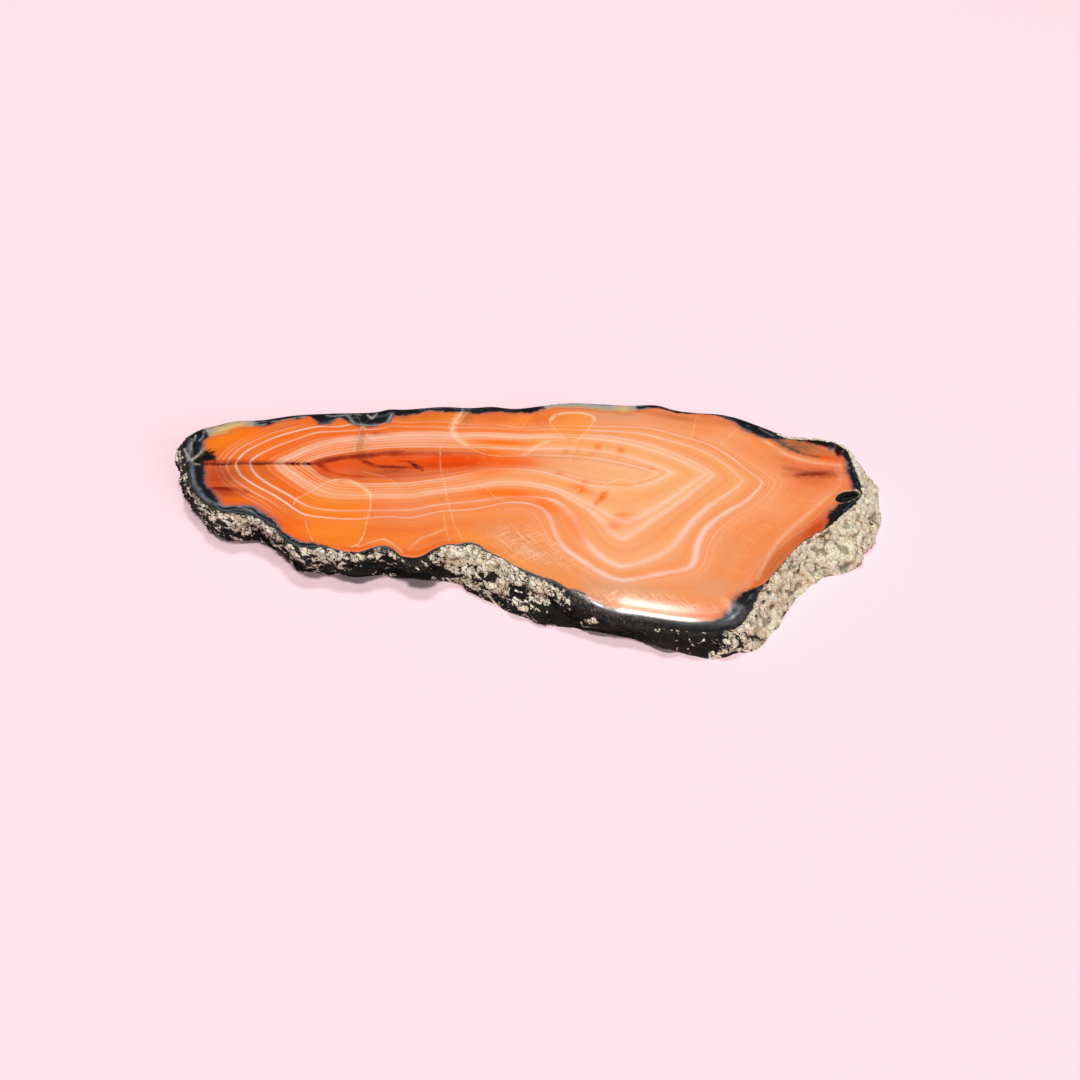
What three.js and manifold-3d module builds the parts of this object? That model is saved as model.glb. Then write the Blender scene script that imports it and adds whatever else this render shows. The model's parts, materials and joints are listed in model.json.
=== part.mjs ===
// Carnelian slab: one slice of a banded nodule. The upper face is sawn and
// polished flat, the lower face is sawn flat, and the rough skin of the nodule
// is left all round the edge. The whole slab grew as one piece of stone.
// Millimetres, +X along the slab, +Y to its straighter side, +Z up.
import * as THREE from "three";
import Module from "manifold-3d";

const thickness = 9;              // lower sawn face to polished face
const stationCount = 300;         // points round the edge
const shoulderSteps = 3;          // rings in the worn corner of the polished face
const flankSteps = 9;             // rings down the rough flank
const edgeRadius = 0.5;           // worn corner round most of the face
const rubbedRadius = 3.2;         // corner polished over at the front right
const lumpHeight = 1.4;           // broad swellings of the skin
const lumpSize = 7;
const knobHeight = 1.1;           // knobs and pits a few millimetres wide
const knobSize = 3.2;
const ledgeHeight = 1.0;          // ledges that run along the wall
const vug = { x: 73.2, y: 2.0, length: 3.4, width: 1.8, depth: 2.8, turn: 0.62 };

// Edge of the polished face from the left tip, along the front, round the right
// end and back. The third number is how far the flank has spread (or, below
// nought, drawn in) by the time it reaches the lower face.
const edgePoints = [
  [-83.5, 23, -1.2], [-82, 17.5, -1.2], [-79.5, 10, -0.8], [-77, 4.5, -1.1],
  [-73.5, -0.5, -0.5], [-69.5, -4, -1.2], [-63.5, -5, -2], [-59, -8, -1.5],
  [-55, -12.5, -1.5], [-52, -16.5, -2.5], [-49, -17.7, -2], [-45, -17.5, -1.5],
  [-40.5, -18.7, -2.3], [-36.3, -19.2, -2.8], [-32.5, -17.5, -1.2], [-30, -18, -1.5],
  [-27, -20.5, -3.8], [-23.5, -21, -3.5], [-20, -18.2, 0], [-17.5, -16.8, 2],
  [-14.5, -17.2, 2.5], [-12.5, -16.3, 4.5], [-8.5, -19.5, 5], [-4.5, -22.5, 5],
  [-0.5, -26.5, 4], [5, -29.5, 3.2], [9.5, -33, 1.3], [15, -37, -0.3],
  [22.5, -38.8, -0.8], [30.5, -40.7, -0.6], [36.5, -41.5, 1.5], [43, -40.7, 2.5],
  [46.5, -37.8, 4], [49.5, -32, 4.5], [52.8, -26.8, 4], [57, -20.5, 4.2],
  [61.5, -15.2, 4.5], [68, -10, 6.5], [71.6, -5.5, 5.9], [75.5, -1.1, 4.9],
  [77.7, 3.4, 5.0], [78, 11, 5.2], [77.8, 17.5, 5.5], [77, 21.5, 5],
  [74.5, 24.7, 4.5], [69.5, 26.4, 4.5], [63.5, 27, 3.8], [60, 29.3, 3],
  [56, 32.3, 2.5], [51.5, 35.5, 2], [47, 37.3, 2], [42, 37.8, 2],
  [36.5, 39.1, 1.5], [32, 41.5, 1.5], [25.5, 41.3, 1.5], [18, 42, 1],
  [10, 42.5, 1], [3.5, 41.2, 1.5], [-3.5, 39.8, 2], [-9, 40.8, 1],
  [-14.5, 40.2, 1.5], [-21.5, 40.7, 1], [-30.5, 39.5, 1.5], [-35, 39.5, 1.5],
  [-37.5, 38.3, 2], [-49.5, 37.6, 1.5], [-58, 36.7, 1.5], [-66, 34.5, 1.5],
  [-72, 34.1, 1], [-76.5, 32, 0.6], [-80.3, 30, 0.2], [-82.7, 26.5, -0.2]
];

function ramp(low, high, value) {
  return THREE.MathUtils.smoothstep(value, low, high);
}

// A fixed number between 0 and 1 for each corner of a cubic lattice.
function cornerValue(i, j, k) {
  const mixed = Math.sin(i * 127.1 + j * 311.7 + k * 74.7) * 43758.5453;
  return mixed - Math.floor(mixed);
}

// Smooth noise from -1 to 1 that swells and sinks once every `size` millimetres.
function noise(x, y, z, size) {
  const cell = [x / size, y / size, z / size].map(Math.floor);
  const part = [x / size - cell[0], y / size - cell[1], z / size - cell[2]];
  const blend = part.map((t) => t * t * (3 - 2 * t));
  let total = 0;
  for (let corner = 0; corner < 8; corner += 1) {
    const step = [corner & 1, (corner >> 1) & 1, (corner >> 2) & 1];
    const share = step.map((s, axis) => (s ? blend[axis] : 1 - blend[axis]));
    const value = cornerValue(cell[0] + step[0], cell[1] + step[1], cell[2] + step[2]);
    total += share[0] * share[1] * share[2] * value;
  }
  return total * 2 - 1;
}

// Stations round the polished edge: place, outward direction and spread.
function edgeStations() {
  const points = edgePoints.map((p) => new THREE.Vector3(p[0], p[1], p[2]));
  const curve = new THREE.CatmullRomCurve3(points, true, "centripetal");
  const places = curve.getSpacedPoints(stationCount).slice(0, stationCount);
  const reach = 4;
  return places.map((place, index) => {
    const ahead = places[(index + reach) % stationCount];
    const behind = places[(index - reach + stationCount) % stationCount];
    const outward = new THREE.Vector2(ahead.y - behind.y, behind.x - ahead.x).normalize();
    return { x: place.x, y: place.y, spread: place.z, outward };
  });
}

// The corner is rubbed over only along the front right of the slab.
function cornerRadius(station) {
  const along = ramp(6, 20, station.x) * (1 - ramp(42, 48, station.x));
  const front = 1 - ramp(-30, -22, station.y);
  return edgeRadius + (rubbedRadius - edgeRadius) * along * front;
}

// Height of the rough skin above the smooth flank at a point on it.
function skinRelief(x, y, z, down) {
  const swelling = lumpHeight * noise(x + 31, y + 7, z * 0.8, lumpSize);
  const knob = knobHeight * noise(x, y + 53, z, knobSize);
  const ledge = ledgeHeight * (0.5 - Math.abs(noise(x + 90, y, z * 2.6, lumpSize)) * 2);
  const held = ramp(0, 0.28, down) * (1 - 0.45 * ramp(0.8, 1, down));
  return (swelling + knob + ledge) * held;
}

function cornerPoint(station, step) {
  const radius = cornerRadius(station);
  const angle = (step / shoulderSteps) * Math.PI / 2;
  const out = radius * (Math.sin(angle) - 1);
  const z = thickness - radius * (1 - Math.cos(angle));
  return [station.x + station.outward.x * out, station.y + station.outward.y * out, z];
}

function flankPoint(station, step) {
  const down = step / flankSteps;
  const z = (thickness - cornerRadius(station)) * (1 - down);
  const swell = 0.7 - 0.1 * station.spread;
  const out = station.spread * Math.pow(down, 0.85) + swell * Math.sin(Math.PI * Math.sqrt(down));
  const x = station.x + station.outward.x * out;
  const y = station.y + station.outward.y * out;
  const rough = skinRelief(x, y, z, down);
  return [x + station.outward.x * rough, y + station.outward.y * rough, z];
}

// Rings of points from the polished face down to the lower face.
function slabRings(stations) {
  const rings = [];
  for (let step = 0; step < shoulderSteps; step += 1) {
    rings.push(stations.map((station) => cornerPoint(station, step)));
  }
  for (let step = 0; step <= flankSteps; step += 1) {
    rings.push(stations.map((station) => flankPoint(station, step)));
  }
  return rings;
}

function capTriangles(ring) {
  const outline = ring.map((p) => new THREE.Vector2(p[0], p[1]));
  return THREE.ShapeUtils.triangulateShape(outline, []);
}

function slabSolid(wasm) {
  const rings = slabRings(edgeStations());
  const corners = [];
  for (const [a, b, c] of capTriangles(rings[0])) {
    corners.push(a, b, c);
  }
  for (let row = 0; row < rings.length - 1; row += 1) {
    for (let column = 0; column < stationCount; column += 1) {
      const next = (column + 1) % stationCount;
      const upper = row * stationCount;
      const lower = upper + stationCount;
      corners.push(upper + column, lower + column, lower + next);
      corners.push(upper + column, lower + next, upper + next);
    }
  }
  const last = (rings.length - 1) * stationCount;
  for (const [a, b, c] of capTriangles(rings[rings.length - 1])) {
    corners.push(last + c, last + b, last + a);
  }
  return solidFrom(wasm, rings.flat(2), corners);
}

// A small open hole in the polished face close to its right end.
function vugSolid(wasm) {
  const ball = new THREE.IcosahedronGeometry(1, 4);
  const places = ball.getAttribute("position");
  const seen = new Map();
  const vertices = [];
  const corners = [];
  for (let index = 0; index < places.count; index += 1) {
    const point = new THREE.Vector3().fromBufferAttribute(places, index);
    const key = point.toArray().map((value) => value.toFixed(5)).join(" ");
    if (!seen.has(key)) {
      seen.set(key, seen.size);
      point.multiplyScalar(1 + 0.16 * noise(point.x, point.y, point.z, 0.7));
      point.multiply(new THREE.Vector3(vug.length, vug.width, vug.depth));
      point.applyAxisAngle(new THREE.Vector3(0, 0, 1), vug.turn);
      vertices.push(point.x + vug.x, point.y + vug.y, point.z + thickness);
    }
    corners.push(seen.get(key));
  }
  return solidFrom(wasm, vertices, corners);
}

function solidFrom(wasm, vertices, corners) {
  return new wasm.Manifold(new wasm.Mesh({
    numProp: 3,
    vertProperties: new Float32Array(vertices),
    triVerts: new Uint32Array(corners)
  }));
}

function meshFrom(solid) {
  const result = solid.getMesh();
  const geometry = new THREE.BufferGeometry();
  geometry.setAttribute("position", new THREE.BufferAttribute(result.vertProperties, 3));
  geometry.setIndex(new THREE.BufferAttribute(result.triVerts, 1));
  geometry.computeBoundingBox();
  const middle = geometry.boundingBox.getCenter(new THREE.Vector3());
  geometry.translate(-middle.x, -middle.y, 0);
  geometry.computeVertexNormals();
  const carnelian = new THREE.MeshStandardMaterial({
    color: 0xd95a1e,
    roughness: 0.3,
    metalness: 0
  });
  return new THREE.Mesh(geometry, carnelian);
}

const wasm = await Module();
wasm.setup();

const slab = meshFrom(slabSolid(wasm).subtract(vugSolid(wasm)));
slab.name = "carnelian_slab";

const group = new THREE.Group();
group.name = "carnelian_slab_part";
group.add(slab);

export default group;
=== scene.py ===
import json
import math
import bmesh
import bpy
import numpy as np
from functools import reduce
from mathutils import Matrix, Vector
from mathutils.bvhtree import BVHTree
from mathutils.geometry import delaunay_2d_cdt

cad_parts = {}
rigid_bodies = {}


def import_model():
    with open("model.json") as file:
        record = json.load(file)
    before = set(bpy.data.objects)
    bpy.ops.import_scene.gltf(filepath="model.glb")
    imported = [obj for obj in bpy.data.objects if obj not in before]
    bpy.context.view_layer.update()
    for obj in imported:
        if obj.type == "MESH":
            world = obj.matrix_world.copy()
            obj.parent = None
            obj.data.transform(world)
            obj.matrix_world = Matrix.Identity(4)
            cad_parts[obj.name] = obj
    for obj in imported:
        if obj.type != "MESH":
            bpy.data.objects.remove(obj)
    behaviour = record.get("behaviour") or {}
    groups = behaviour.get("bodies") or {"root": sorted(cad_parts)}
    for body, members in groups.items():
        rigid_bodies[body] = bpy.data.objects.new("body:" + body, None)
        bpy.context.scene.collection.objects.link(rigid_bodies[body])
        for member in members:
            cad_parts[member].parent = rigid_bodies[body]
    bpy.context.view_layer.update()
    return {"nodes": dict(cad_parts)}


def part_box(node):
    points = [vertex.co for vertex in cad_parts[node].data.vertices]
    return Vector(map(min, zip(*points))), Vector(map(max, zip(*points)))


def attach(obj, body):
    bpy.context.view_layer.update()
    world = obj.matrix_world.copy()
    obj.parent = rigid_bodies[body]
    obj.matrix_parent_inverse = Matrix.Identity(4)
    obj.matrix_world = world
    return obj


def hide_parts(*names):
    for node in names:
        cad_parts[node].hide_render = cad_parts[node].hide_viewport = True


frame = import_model()
print("frame loaded")

mm = 0.001

# The slab's own shape. Lengths are in millimetres until the mesh is written.
slab = {
    "node": "carnelian_slab",
    "stations": 1700,          # points round the edge
    "cornerSteps": 7,          # rows over the worn corner
    "flankSteps": 29,          # rows down the rough flank
    "edgePasses": 6,           # how often the edge is evened out, and then the flank
    "flankPasses": 3,
    "edgeRadius": 0.5,
    "rubbedRadius": 3.2,       # the corner polished over at the front right
    "rubbedWidth": 9.0,        # how far in from the edge the polished-over corner starts to fall
    "faceSpacing": 0.74,       # spacing of points in the polished face
    "sawnSpacing": 1.35,       # spacing of points in the sawn face
    "guidedSeams": 10,         # how many of the dark seams the faces are cut along
    "vugCentre": (73.7, 1.5),
    "vugSpokes": 72,
    "vugRings": 16,
    "sawnShrink": 1.02,        # the bands lean a little through the thickness
    "sawnShift": (0.7, -0.9),
}

# Lines of the banding in the polished face, outermost first. Each is a closed
# ring: the left tip, the near side to the right tip, then the far side back.
bandRings = {
    "outer": [
        (-68.4, 15.2), (-67.4, 12), (-65.8, 9.3), (-62, 5.6), (-58, 2.4), (-54.5, -0.9),
        (-51.5, -4), (-49, -5.7), (-44, -6.8), (-38, -7.2), (-31, -6.3), (-25.5, -6.7),
        (-19, -4.3), (-13, -3.7), (-8, -2.2), (-3.5, -0.8), (1, -1.4), (4, -3.4),
        (5.6, -7), (7, -13.5), (9, -18.3), (13, -23), (17, -27.2), (20.5, -29.2),
        (24, -28.7), (30, -26.8), (34.5, -25.5), (36.6, -22.8), (38, -16.5), (40.3, -10.8),
        (44.5, -5.5), (50, -0.6), (53.6, 4.3), (55, 7.3), (52.3, 11.8), (48.2, 18.3),
        (44, 23), (38.5, 26.2), (30, 30.3), (22, 31), (12, 31.3), (5, 31.5),
        (-1, 30.4), (-8, 32.1), (-14, 32), (-22, 33.3), (-29, 32.8), (-33, 33.2),
        (-37, 31.7), (-42, 32.2), (-46, 31), (-51, 31), (-56, 29), (-60.5, 26.4),
        (-64.5, 22.8), (-67, 19.6),
    ],
    "second": [
        (-65, 15.2), (-63.7, 11.6), (-61.3, 8.4), (-57.8, 5.1), (-54, 1.9), (-51, -1),
        (-48.5, -2.7), (-45, -3.7), (-40, -4.1), (-34, -3.9), (-28, -3.8), (-24.5, -3.4),
        (-21, -2.1), (-17, -1.2), (-12.5, -0.6), (-8, 0.5), (-4, 1.3), (1, 1.5),
        (5, 0.7), (8, -1.4), (10, -5), (12, -11), (14, -16.5), (17, -21.5),
        (20.3, -24.4), (23, -24), (27, -22), (30.5, -19.5), (33.3, -15.8), (35.8, -11),
        (38.5, -6.5), (42.5, -1.5), (46.5, 2.8), (49, 5.5), (50.6, 8.1), (48.5, 12),
        (46, 16), (43, 19.5), (39, 22.5), (34, 25), (28.5, 27.7), (22, 28.8),
        (14, 29.5), (6, 29.9), (0, 29.4), (-6, 30), (-12, 30.6), (-18, 30.5),
        (-24, 31.1), (-29, 30.9), (-32.5, 31.3), (-36, 30), (-40, 29.6), (-46, 28.9),
        (-51, 28.3), (-55, 25.8), (-59, 23), (-62.5, 19.8), (-64.4, 17.3),
    ],
    "pairOut": [
        (-59.2, 15), (-57.8, 12.5), (-55.5, 9.8), (-52.5, 6.6), (-50, 4.2), (-47.5, 2.2),
        (-44.5, 1.2), (-41, 0.8), (-36, 0.8), (-30, 1), (-25.5, 1.2), (-22, 2.3),
        (-18, 3.1), (-14, 3.9), (-11, 4.7), (-8, 5.8), (-4.5, 6.3), (-1, 6.2),
        (2.5, 5.3), (6, 4), (8.5, 2.2), (11.5, -0.8), (14.5, -4), (17, -7.8),
        (19, -11.8), (20.3, -14), (21.7, -14.6), (23, -13.8), (26, -10.8), (29.5, -6.8),
        (33, -3), (36.5, 0.8), (40, 5), (43, 8.8), (44, 10.6), (42.5, 12.8),
        (40, 15.3), (37, 18), (33.5, 20.8), (30, 23), (26, 24.8), (22, 26.2),
        (17, 27), (11, 27.5), (6, 27.6), (0, 27.2), (-5, 27.8), (-10, 28.3),
        (-15, 28), (-21, 28.6), (-28, 28.5), (-33, 28), (-38, 27.2), (-43, 26.5),
        (-47, 25.2), (-50.5, 23.4), (-53.5, 21.3), (-56, 18.8), (-58.3, 16.6),
    ],
    "pairIn": [
        (-57.6, 15), (-56, 12.8), (-53.5, 10.3), (-50.5, 7.2), (-48, 4.9), (-45.5, 3),
        (-43, 2.3), (-38, 2), (-32, 2.2), (-26.5, 2.3), (-22.5, 3.4), (-18, 4.3),
        (-14, 5.1), (-10.5, 6.1), (-7.5, 7.1), (-4, 7.5), (-0.5, 7.2), (3, 6.3),
        (6.5, 5), (9.5, 2.8), (13, 0), (16, -2.7), (18.5, -5.2), (20.5, -7.3),
        (22, -8.4), (23.7, -7.6), (26.5, -5.6), (30, -2.6), (33.5, 1), (37, 5),
        (40, 8.3), (42, 10.6), (40.5, 12.5), (38, 15), (35, 17.4), (31.5, 19.8),
        (28, 21.8), (24, 23.6), (20, 24.9), (15, 25.8), (10, 26.3), (4, 26.4),
        (-1, 26), (-6, 26.6), (-11, 27.1), (-16, 26.8), (-22, 27.2), (-28, 27.2),
        (-34, 26.4), (-39, 25.7), (-44, 24.7), (-48, 23.2), (-51.5, 21), (-54.5, 18.3),
        (-56.7, 16.3),
    ],
    "inner": [
        (-52.2, 15), (-50, 12.4), (-48, 10.1), (-46, 8.5), (-43.5, 7.5), (-40, 6.8),
        (-36, 6.5), (-31, 6.7), (-26.5, 7), (-22.5, 7.9), (-18, 9), (-14, 10.4),
        (-10, 12), (-6, 12.8), (-2, 12.7), (2, 12.1), (5.5, 11), (8.5, 9.4),
        (11.5, 7.6), (14.5, 6.1), (18, 5.5), (22, 5.3), (26, 5.6), (29, 7),
        (32, 9.3), (34.3, 11), (32.5, 12.8), (30, 14.5), (27, 16.4), (24, 18),
        (20.5, 19.5), (16, 20.5), (10, 21.2), (5, 21.3), (0, 21), (-5, 21.5),
        (-10, 21.8), (-16, 21.9), (-22, 22.1), (-28, 22.1), (-33, 21.8), (-38, 21),
        (-42, 20.1), (-46, 18.9), (-49.5, 17.3), (-51.4, 16),
    ],
    "core": [
        (-50, 15), (-48, 12.2), (-45.5, 10.3), (-42.5, 9.2), (-38, 8.6), (-33, 8.5),
        (-28, 8.8), (-23, 9.6), (-18, 10.6), (-13, 12), (-8, 13.4), (-3, 13.9),
        (2, 13.3), (7, 11.6), (11, 9.6), (15, 8), (19, 7.2), (24, 7.3),
        (28, 8.8), (31, 10.8), (28.5, 12.3), (25, 13.8), (21, 15.3), (16, 16.6),
        (10, 17.6), (4, 18.2), (-2, 18.5), (-8, 18.9), (-14, 19.4), (-20, 19.9),
        (-27, 20), (-33, 19.8), (-38, 19.1), (-42, 18.3), (-46, 17.1), (-48.5, 16),
    ],
}
ringTone = {"outer": 1.0, "second": 0.85, "pairOut": 0.6, "pairIn": 0.7, "inner": 0.65, "core": 0.12}

# Healed cracks: strength, then the points along each.
healedCracks = [
    (1.0, [(-52.6, -1.5), (-52.4, 0.6), (-50, 2.8), (-47.5, 5.6), (-45.5, 7.6), (-43, 8.5), (-41, 8.2),
        (-39.3, 6.8), (-37.4, 5), (-36, 3.6), (-35.4, 2), (-35.1, -1), (-35.1, -4), (-35.4, -8),
        (-35.5, -12), (-36, -15), (-36.8, -16.8), (-38, -17.6)]),
    (0.5, [(-49.5, -6.2), (-48.8, -9), (-48, -12), (-46.5, -15.5)]),
    (0.35, [(-38, 11.5), (-34, 10), (-32, 8.8), (-30.5, 7.5), (-29.5, 5.5), (-28, 4)]),
    (0.55, [(-20.5, 22), (-20.3, 18), (-20, 13), (-19.3, 9), (-18.5, 5.5), (-18, 2), (-17.5, -1),
        (-16.8, -4), (-16, -8), (-15, -11.5), (-13.5, -15)]),
    (0.35, [(-18.3, -5), (-17.8, -9), (-17.3, -12), (-16.5, -15.5)]),
    (0.75, [(-15.8, 39), (-16.5, 36), (-17.7, 33), (-18, 30), (-17.5, 27.5), (-16, 25), (-14, 22.5),
        (-12.5, 20.8), (-10.5, 19.3), (-8, 18.3), (-3, 18), (0, 18.4), (1, 20), (2.5, 22), (4.5, 23.8),
        (6.5, 24.8), (9, 25.2)]),
    (0.45, [(-14.5, 38), (-16, 34), (-17, 31)]),
    (0.7, [(6, 35), (7, 36.5), (9.5, 37.3), (13, 37.5), (15.5, 36.5), (17, 35), (16.5, 33), (15.5, 31),
        (14.5, 28.5), (13, 26), (11.5, 24.5), (10, 25), (8.5, 27), (7, 30), (6, 32.5), (6, 35)]),
    (0.3, [(13, 26), (12.3, 23), (11.3, 19.5), (10.3, 16)]),
    (0.5, [(-42.5, 37), (-41, 34), (-40.3, 31), (-40.5, 28), (-41, 24), (-41, 20)]),
    (0.4, [(-37, 37), (-38.5, 34.5), (-39.6, 32), (-38.6, 28), (-38.8, 22)]),
    (0.35, [(-5, 32), (-3.5, 30.8), (-2, 30.5), (-0.5, 31.5), (0.3, 34), (1, 36)]),
    (0.4, [(42.5, 37), (41.5, 33), (40.5, 28), (40, 26)]),
    (0.4, [(52.5, 31), (50.5, 28.5), (48.5, 25.5), (46.5, 22.5)]),
    (0.45, [(-36, -17.5), (-34, -16), (-31, -14.5), (-28.5, -17), (-26, -20)]),
    (0.35, [(-25.5, -18.5), (-23, -14.5), (-20, -12.8), (-18, -11)]),
    (0.4, [(-9.5, 5.5), (-8, 3), (-6.5, 0.8), (-4.5, -0.5)]),
    (0.25, [(-4.5, 4.5), (-3, 7), (-2, 8.5)]),
    (0.45, [(18, 5.8), (20, 7.5), (22, 8.3), (24, 7.8), (26, 6)]),
    (0.3, [(50, 0.5), (52.5, -1.5), (55, -3.5), (58, -4.5)]),
    (0.3, [(60, 2.5), (62, 0.8), (64, 0.3), (66, -0.5)]),
    (0.3, [(48.5, -7), (51, -8), (53, -9), (55, -10.5)]),
    (0.3, [(48, -13), (50, -15.5), (51.5, -16.2)]),
    (0.3, [(45.5, -20.5), (48, -21.3), (49.5, -20.5)]),
    (0.3, [(44, -25.5), (46.5, -26.5), (48, -26)]),
    (0.3, [(54, 21), (56, 19), (57.5, 16.5)]),
]

# Dark seams in the banding: strength, half width, coldness (0 red-brown, 1 slate), points.
darkSeams = [
    (0.75, 0.42, 0, [(-76.5, 14.5), (-72, 14.6), (-68, 14.8), (-64, 15), (-60, 14.9), (-56, 14.9),
        (-52.5, 14.8), (-50.2, 14.8)]),
    (0.62, 0.55, 0, [(-50.2, 15), (-48, 16.4), (-45, 17.5), (-42, 18.2), (-38, 18.9), (-33.5, 19.7),
        (-29, 20)]),
    (0.4, 0.3, 0, [(-29, 19.9), (-24, 19.9), (-18, 19.7), (-12, 19.2), (-9, 18.6)]),
    (0.45, 0.42, 0, [(-39.5, 16.6), (-37.8, 15.9), (-36.2, 14.8), (-34.5, 14), (-32, 13.5), (-29, 13.3),
        (-26.5, 13.3), (-25, 12.8)]),
    (0.7, 0.32, 0, [(-27.6, 15.5), (-26.6, 14.8), (-25.4, 14.1), (-24.6, 13.2), (-24.1, 11.9)]),
    (0.35, 0.16, 0, [(2, 17.9), (8, 17.5), (13, 17), (18, 15.9), (22, 14.6), (26, 12.9), (29, 11.3)]),
    (0.25, 0.14, 0, [(-2, 19.6), (5, 19.4), (11, 18.9), (17, 17.8), (21.5, 16.4), (26, 14.4),
        (29.5, 12.6)]),
    (0.35, 0.2, 0.5, [(60.5, 13.2), (62, 12), (63.5, 11)]),
    (0.5, 1.1, 0.35, [(63.6, 10.3), (65, 10.5), (67, 10.6), (69, 10.9), (71.5, 11)]),
    (0.2, 0.2, 0, [(40.5, 27.5), (42, 24.5), (43.5, 22.5)]),
    (1.0, 1.3, 1, [(54.5, 32.5), (57.4, 28.8), (59.6, 26.2)]),
    (1.0, 0.8, 1, [(59.6, 26.2), (61.6, 23.6), (63.4, 21.4), (65.3, 19.7)]),
    (0.8, 0.5, 1, [(65.3, 19.7), (67.2, 18.5), (69.4, 17.8)]),
]
# Black hairs that fan up from the left end of the long seam: where each ends.
tuftRoot = (-76.3, 16.2)
tuftTips = [(-76.9, 20.6), (-76.1, 20.0), (-75.5, 20.9), (-75.0, 19.8), (-74.4, 20.0), (-74.3, 18.6),
            (-73.6, 18.2), (-73.9, 17.0), (-73.3, 16.3), (-78.6, 15.4)]
darkSeams += [(1.3, 0.34, 0.6, [tuftRoot, tip]) for tip in tuftTips]

# Pale veins in the dark rim: strength, half width, warmth (0 blue-grey, 1 tan), points.
rimVeins = [
    (0.9, 0.4, 0.2, [(-44.5, 36.5), (-43.3, 34.5), (-42.3, 32.8), (-40.2, 31.8), (-37.6, 31.6),
        (-35.4, 32), (-34, 33.2), (-33.6, 35), (-33.2, 37)]),
    (0.8, 0.3, 0.6, [(-39.9, 38), (-39, 35.8), (-38, 34.6), (-37.2, 36.4), (-36.6, 38.2)]),
    (0.5, 0.3, 0.3, [(-50.5, 36.6), (-48, 35.8), (-45, 36.2), (-42.5, 36.9), (-41, 36.2)]),
    (0.7, 0.5, 0, [(-81.2, 25.5), (-80.6, 22), (-79.6, 18), (-78.4, 13), (-77.2, 8.4), (-75.8, 4.6),
        (-73.6, 1.4), (-71, -1), (-67.5, -2.2)]),
    (0.7, 0.28, 0.8, [(-82.2, 22.4), (-81, 19.6), (-79.4, 16.8), (-78.4, 15.2), (-76.9, 14.5)]),
    (0.8, 0.35, 0.9, [(-76.4, 22.8), (-77.1, 20.6), (-78, 18.4), (-79, 16.6)]),
    (0.7, 0.25, 0.5, [(-80.6, 29.4), (-80, 26.4), (-80.4, 23.6), (-80, 21)]),
    (0.6, 0.22, 0.4, [(-78.6, 29.6), (-78.2, 26.8), (-78.8, 24.6)]),
    (0.6, 0.22, 0.4, [(-81.4, 19), (-80.2, 17), (-79.8, 13.6), (-79.2, 10)]),
    (0.7, 0.3, 0.5, [(-62.6, 33.2), (-60, 33.8), (-57.4, 34.8), (-54.6, 35.6)]),
    (0.7, 0.3, 0.4, [(-66.4, 32.4), (-65.2, 31.6), (-63.8, 32.2)]),
    (0.5, 0.3, 0.2, [(-65, -2.4), (-62, -4), (-59.6, -6.6), (-57.4, -9), (-55, -11.6)]),
    (0.5, 0.35, 0.1, [(55.4, 32.2), (57.6, 29.6), (59.8, 27)]),
    (0.6, 0.3, 0.3, [(70, 22.4), (71.4, 24.4)]),
    (0.6, 0.3, 0.3, [(73.2, 20.4), (74.8, 22.4)]),
    (0.5, 0.25, 0.3, [(74.5, 18.6), (75.8, 20.4)]),
]

# Broad pale streaks in the stone: strength, half width, points.
paleStreaks = [
    (0.8, 0.8, [(-15.9, 39.5), (-16.6, 36.5), (-17.6, 33.5), (-17.9, 30), (-17.4, 27), (-16, 25),
        (-14.4, 23)]),
    (0.55, 0.7, [(-0.6, 18.6), (1.2, 20.8), (3.2, 23), (5.4, 24.6)]),
    (0.6, 0.6, [(-44.4, 8.1), (-41, 7.7), (-38.6, 6.1), (-36.6, 3.8), (-35.7, 1.8)]),
    (1.0, 0.45, [(6, 34), (7.4, 36.5), (10.5, 37.3), (14.5, 37.1), (16.5, 35.6), (16.8, 33.8)]),
    (0.5, 0.35, [(18, 5.6), (20, 7.4), (22, 8.2), (24, 7.8), (26, 6)]),
    (0.5, 0.4, [(72.4, 5.4), (69, 1), (64.5, -4.4), (59, -11), (54.6, -17.6), (51.6, -24), (49.6, -29)]),
    (0.4, 0.16, [(73, 14), (72.6, 11), (73.2, 8), (72.2, 5), (69.4, 2)]),
    (0.4, 0.14, [(73.9, 13), (73.7, 10), (74, 7.6)]),
    (0.5, 0.5, [(56.4, 26.6), (59.6, 22), (63, 18), (67, 15.8), (71, 14.8), (74, 14.2)]),
    (0.35, 0.3, [(-34, -15.8), (-31, -14.5), (-29, -16.4), (-27, -18.6)]),
    (0.3, 0.5, [(-25, -18), (-22.8, -14.6), (-20, -12.8), (-17.6, -10.8)]),
    (0.45, 0.2, [(-78, 28.6), (-75.6, 30.2), (-73.4, 31.4), (-71.6, 32.6)]),
]

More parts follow.
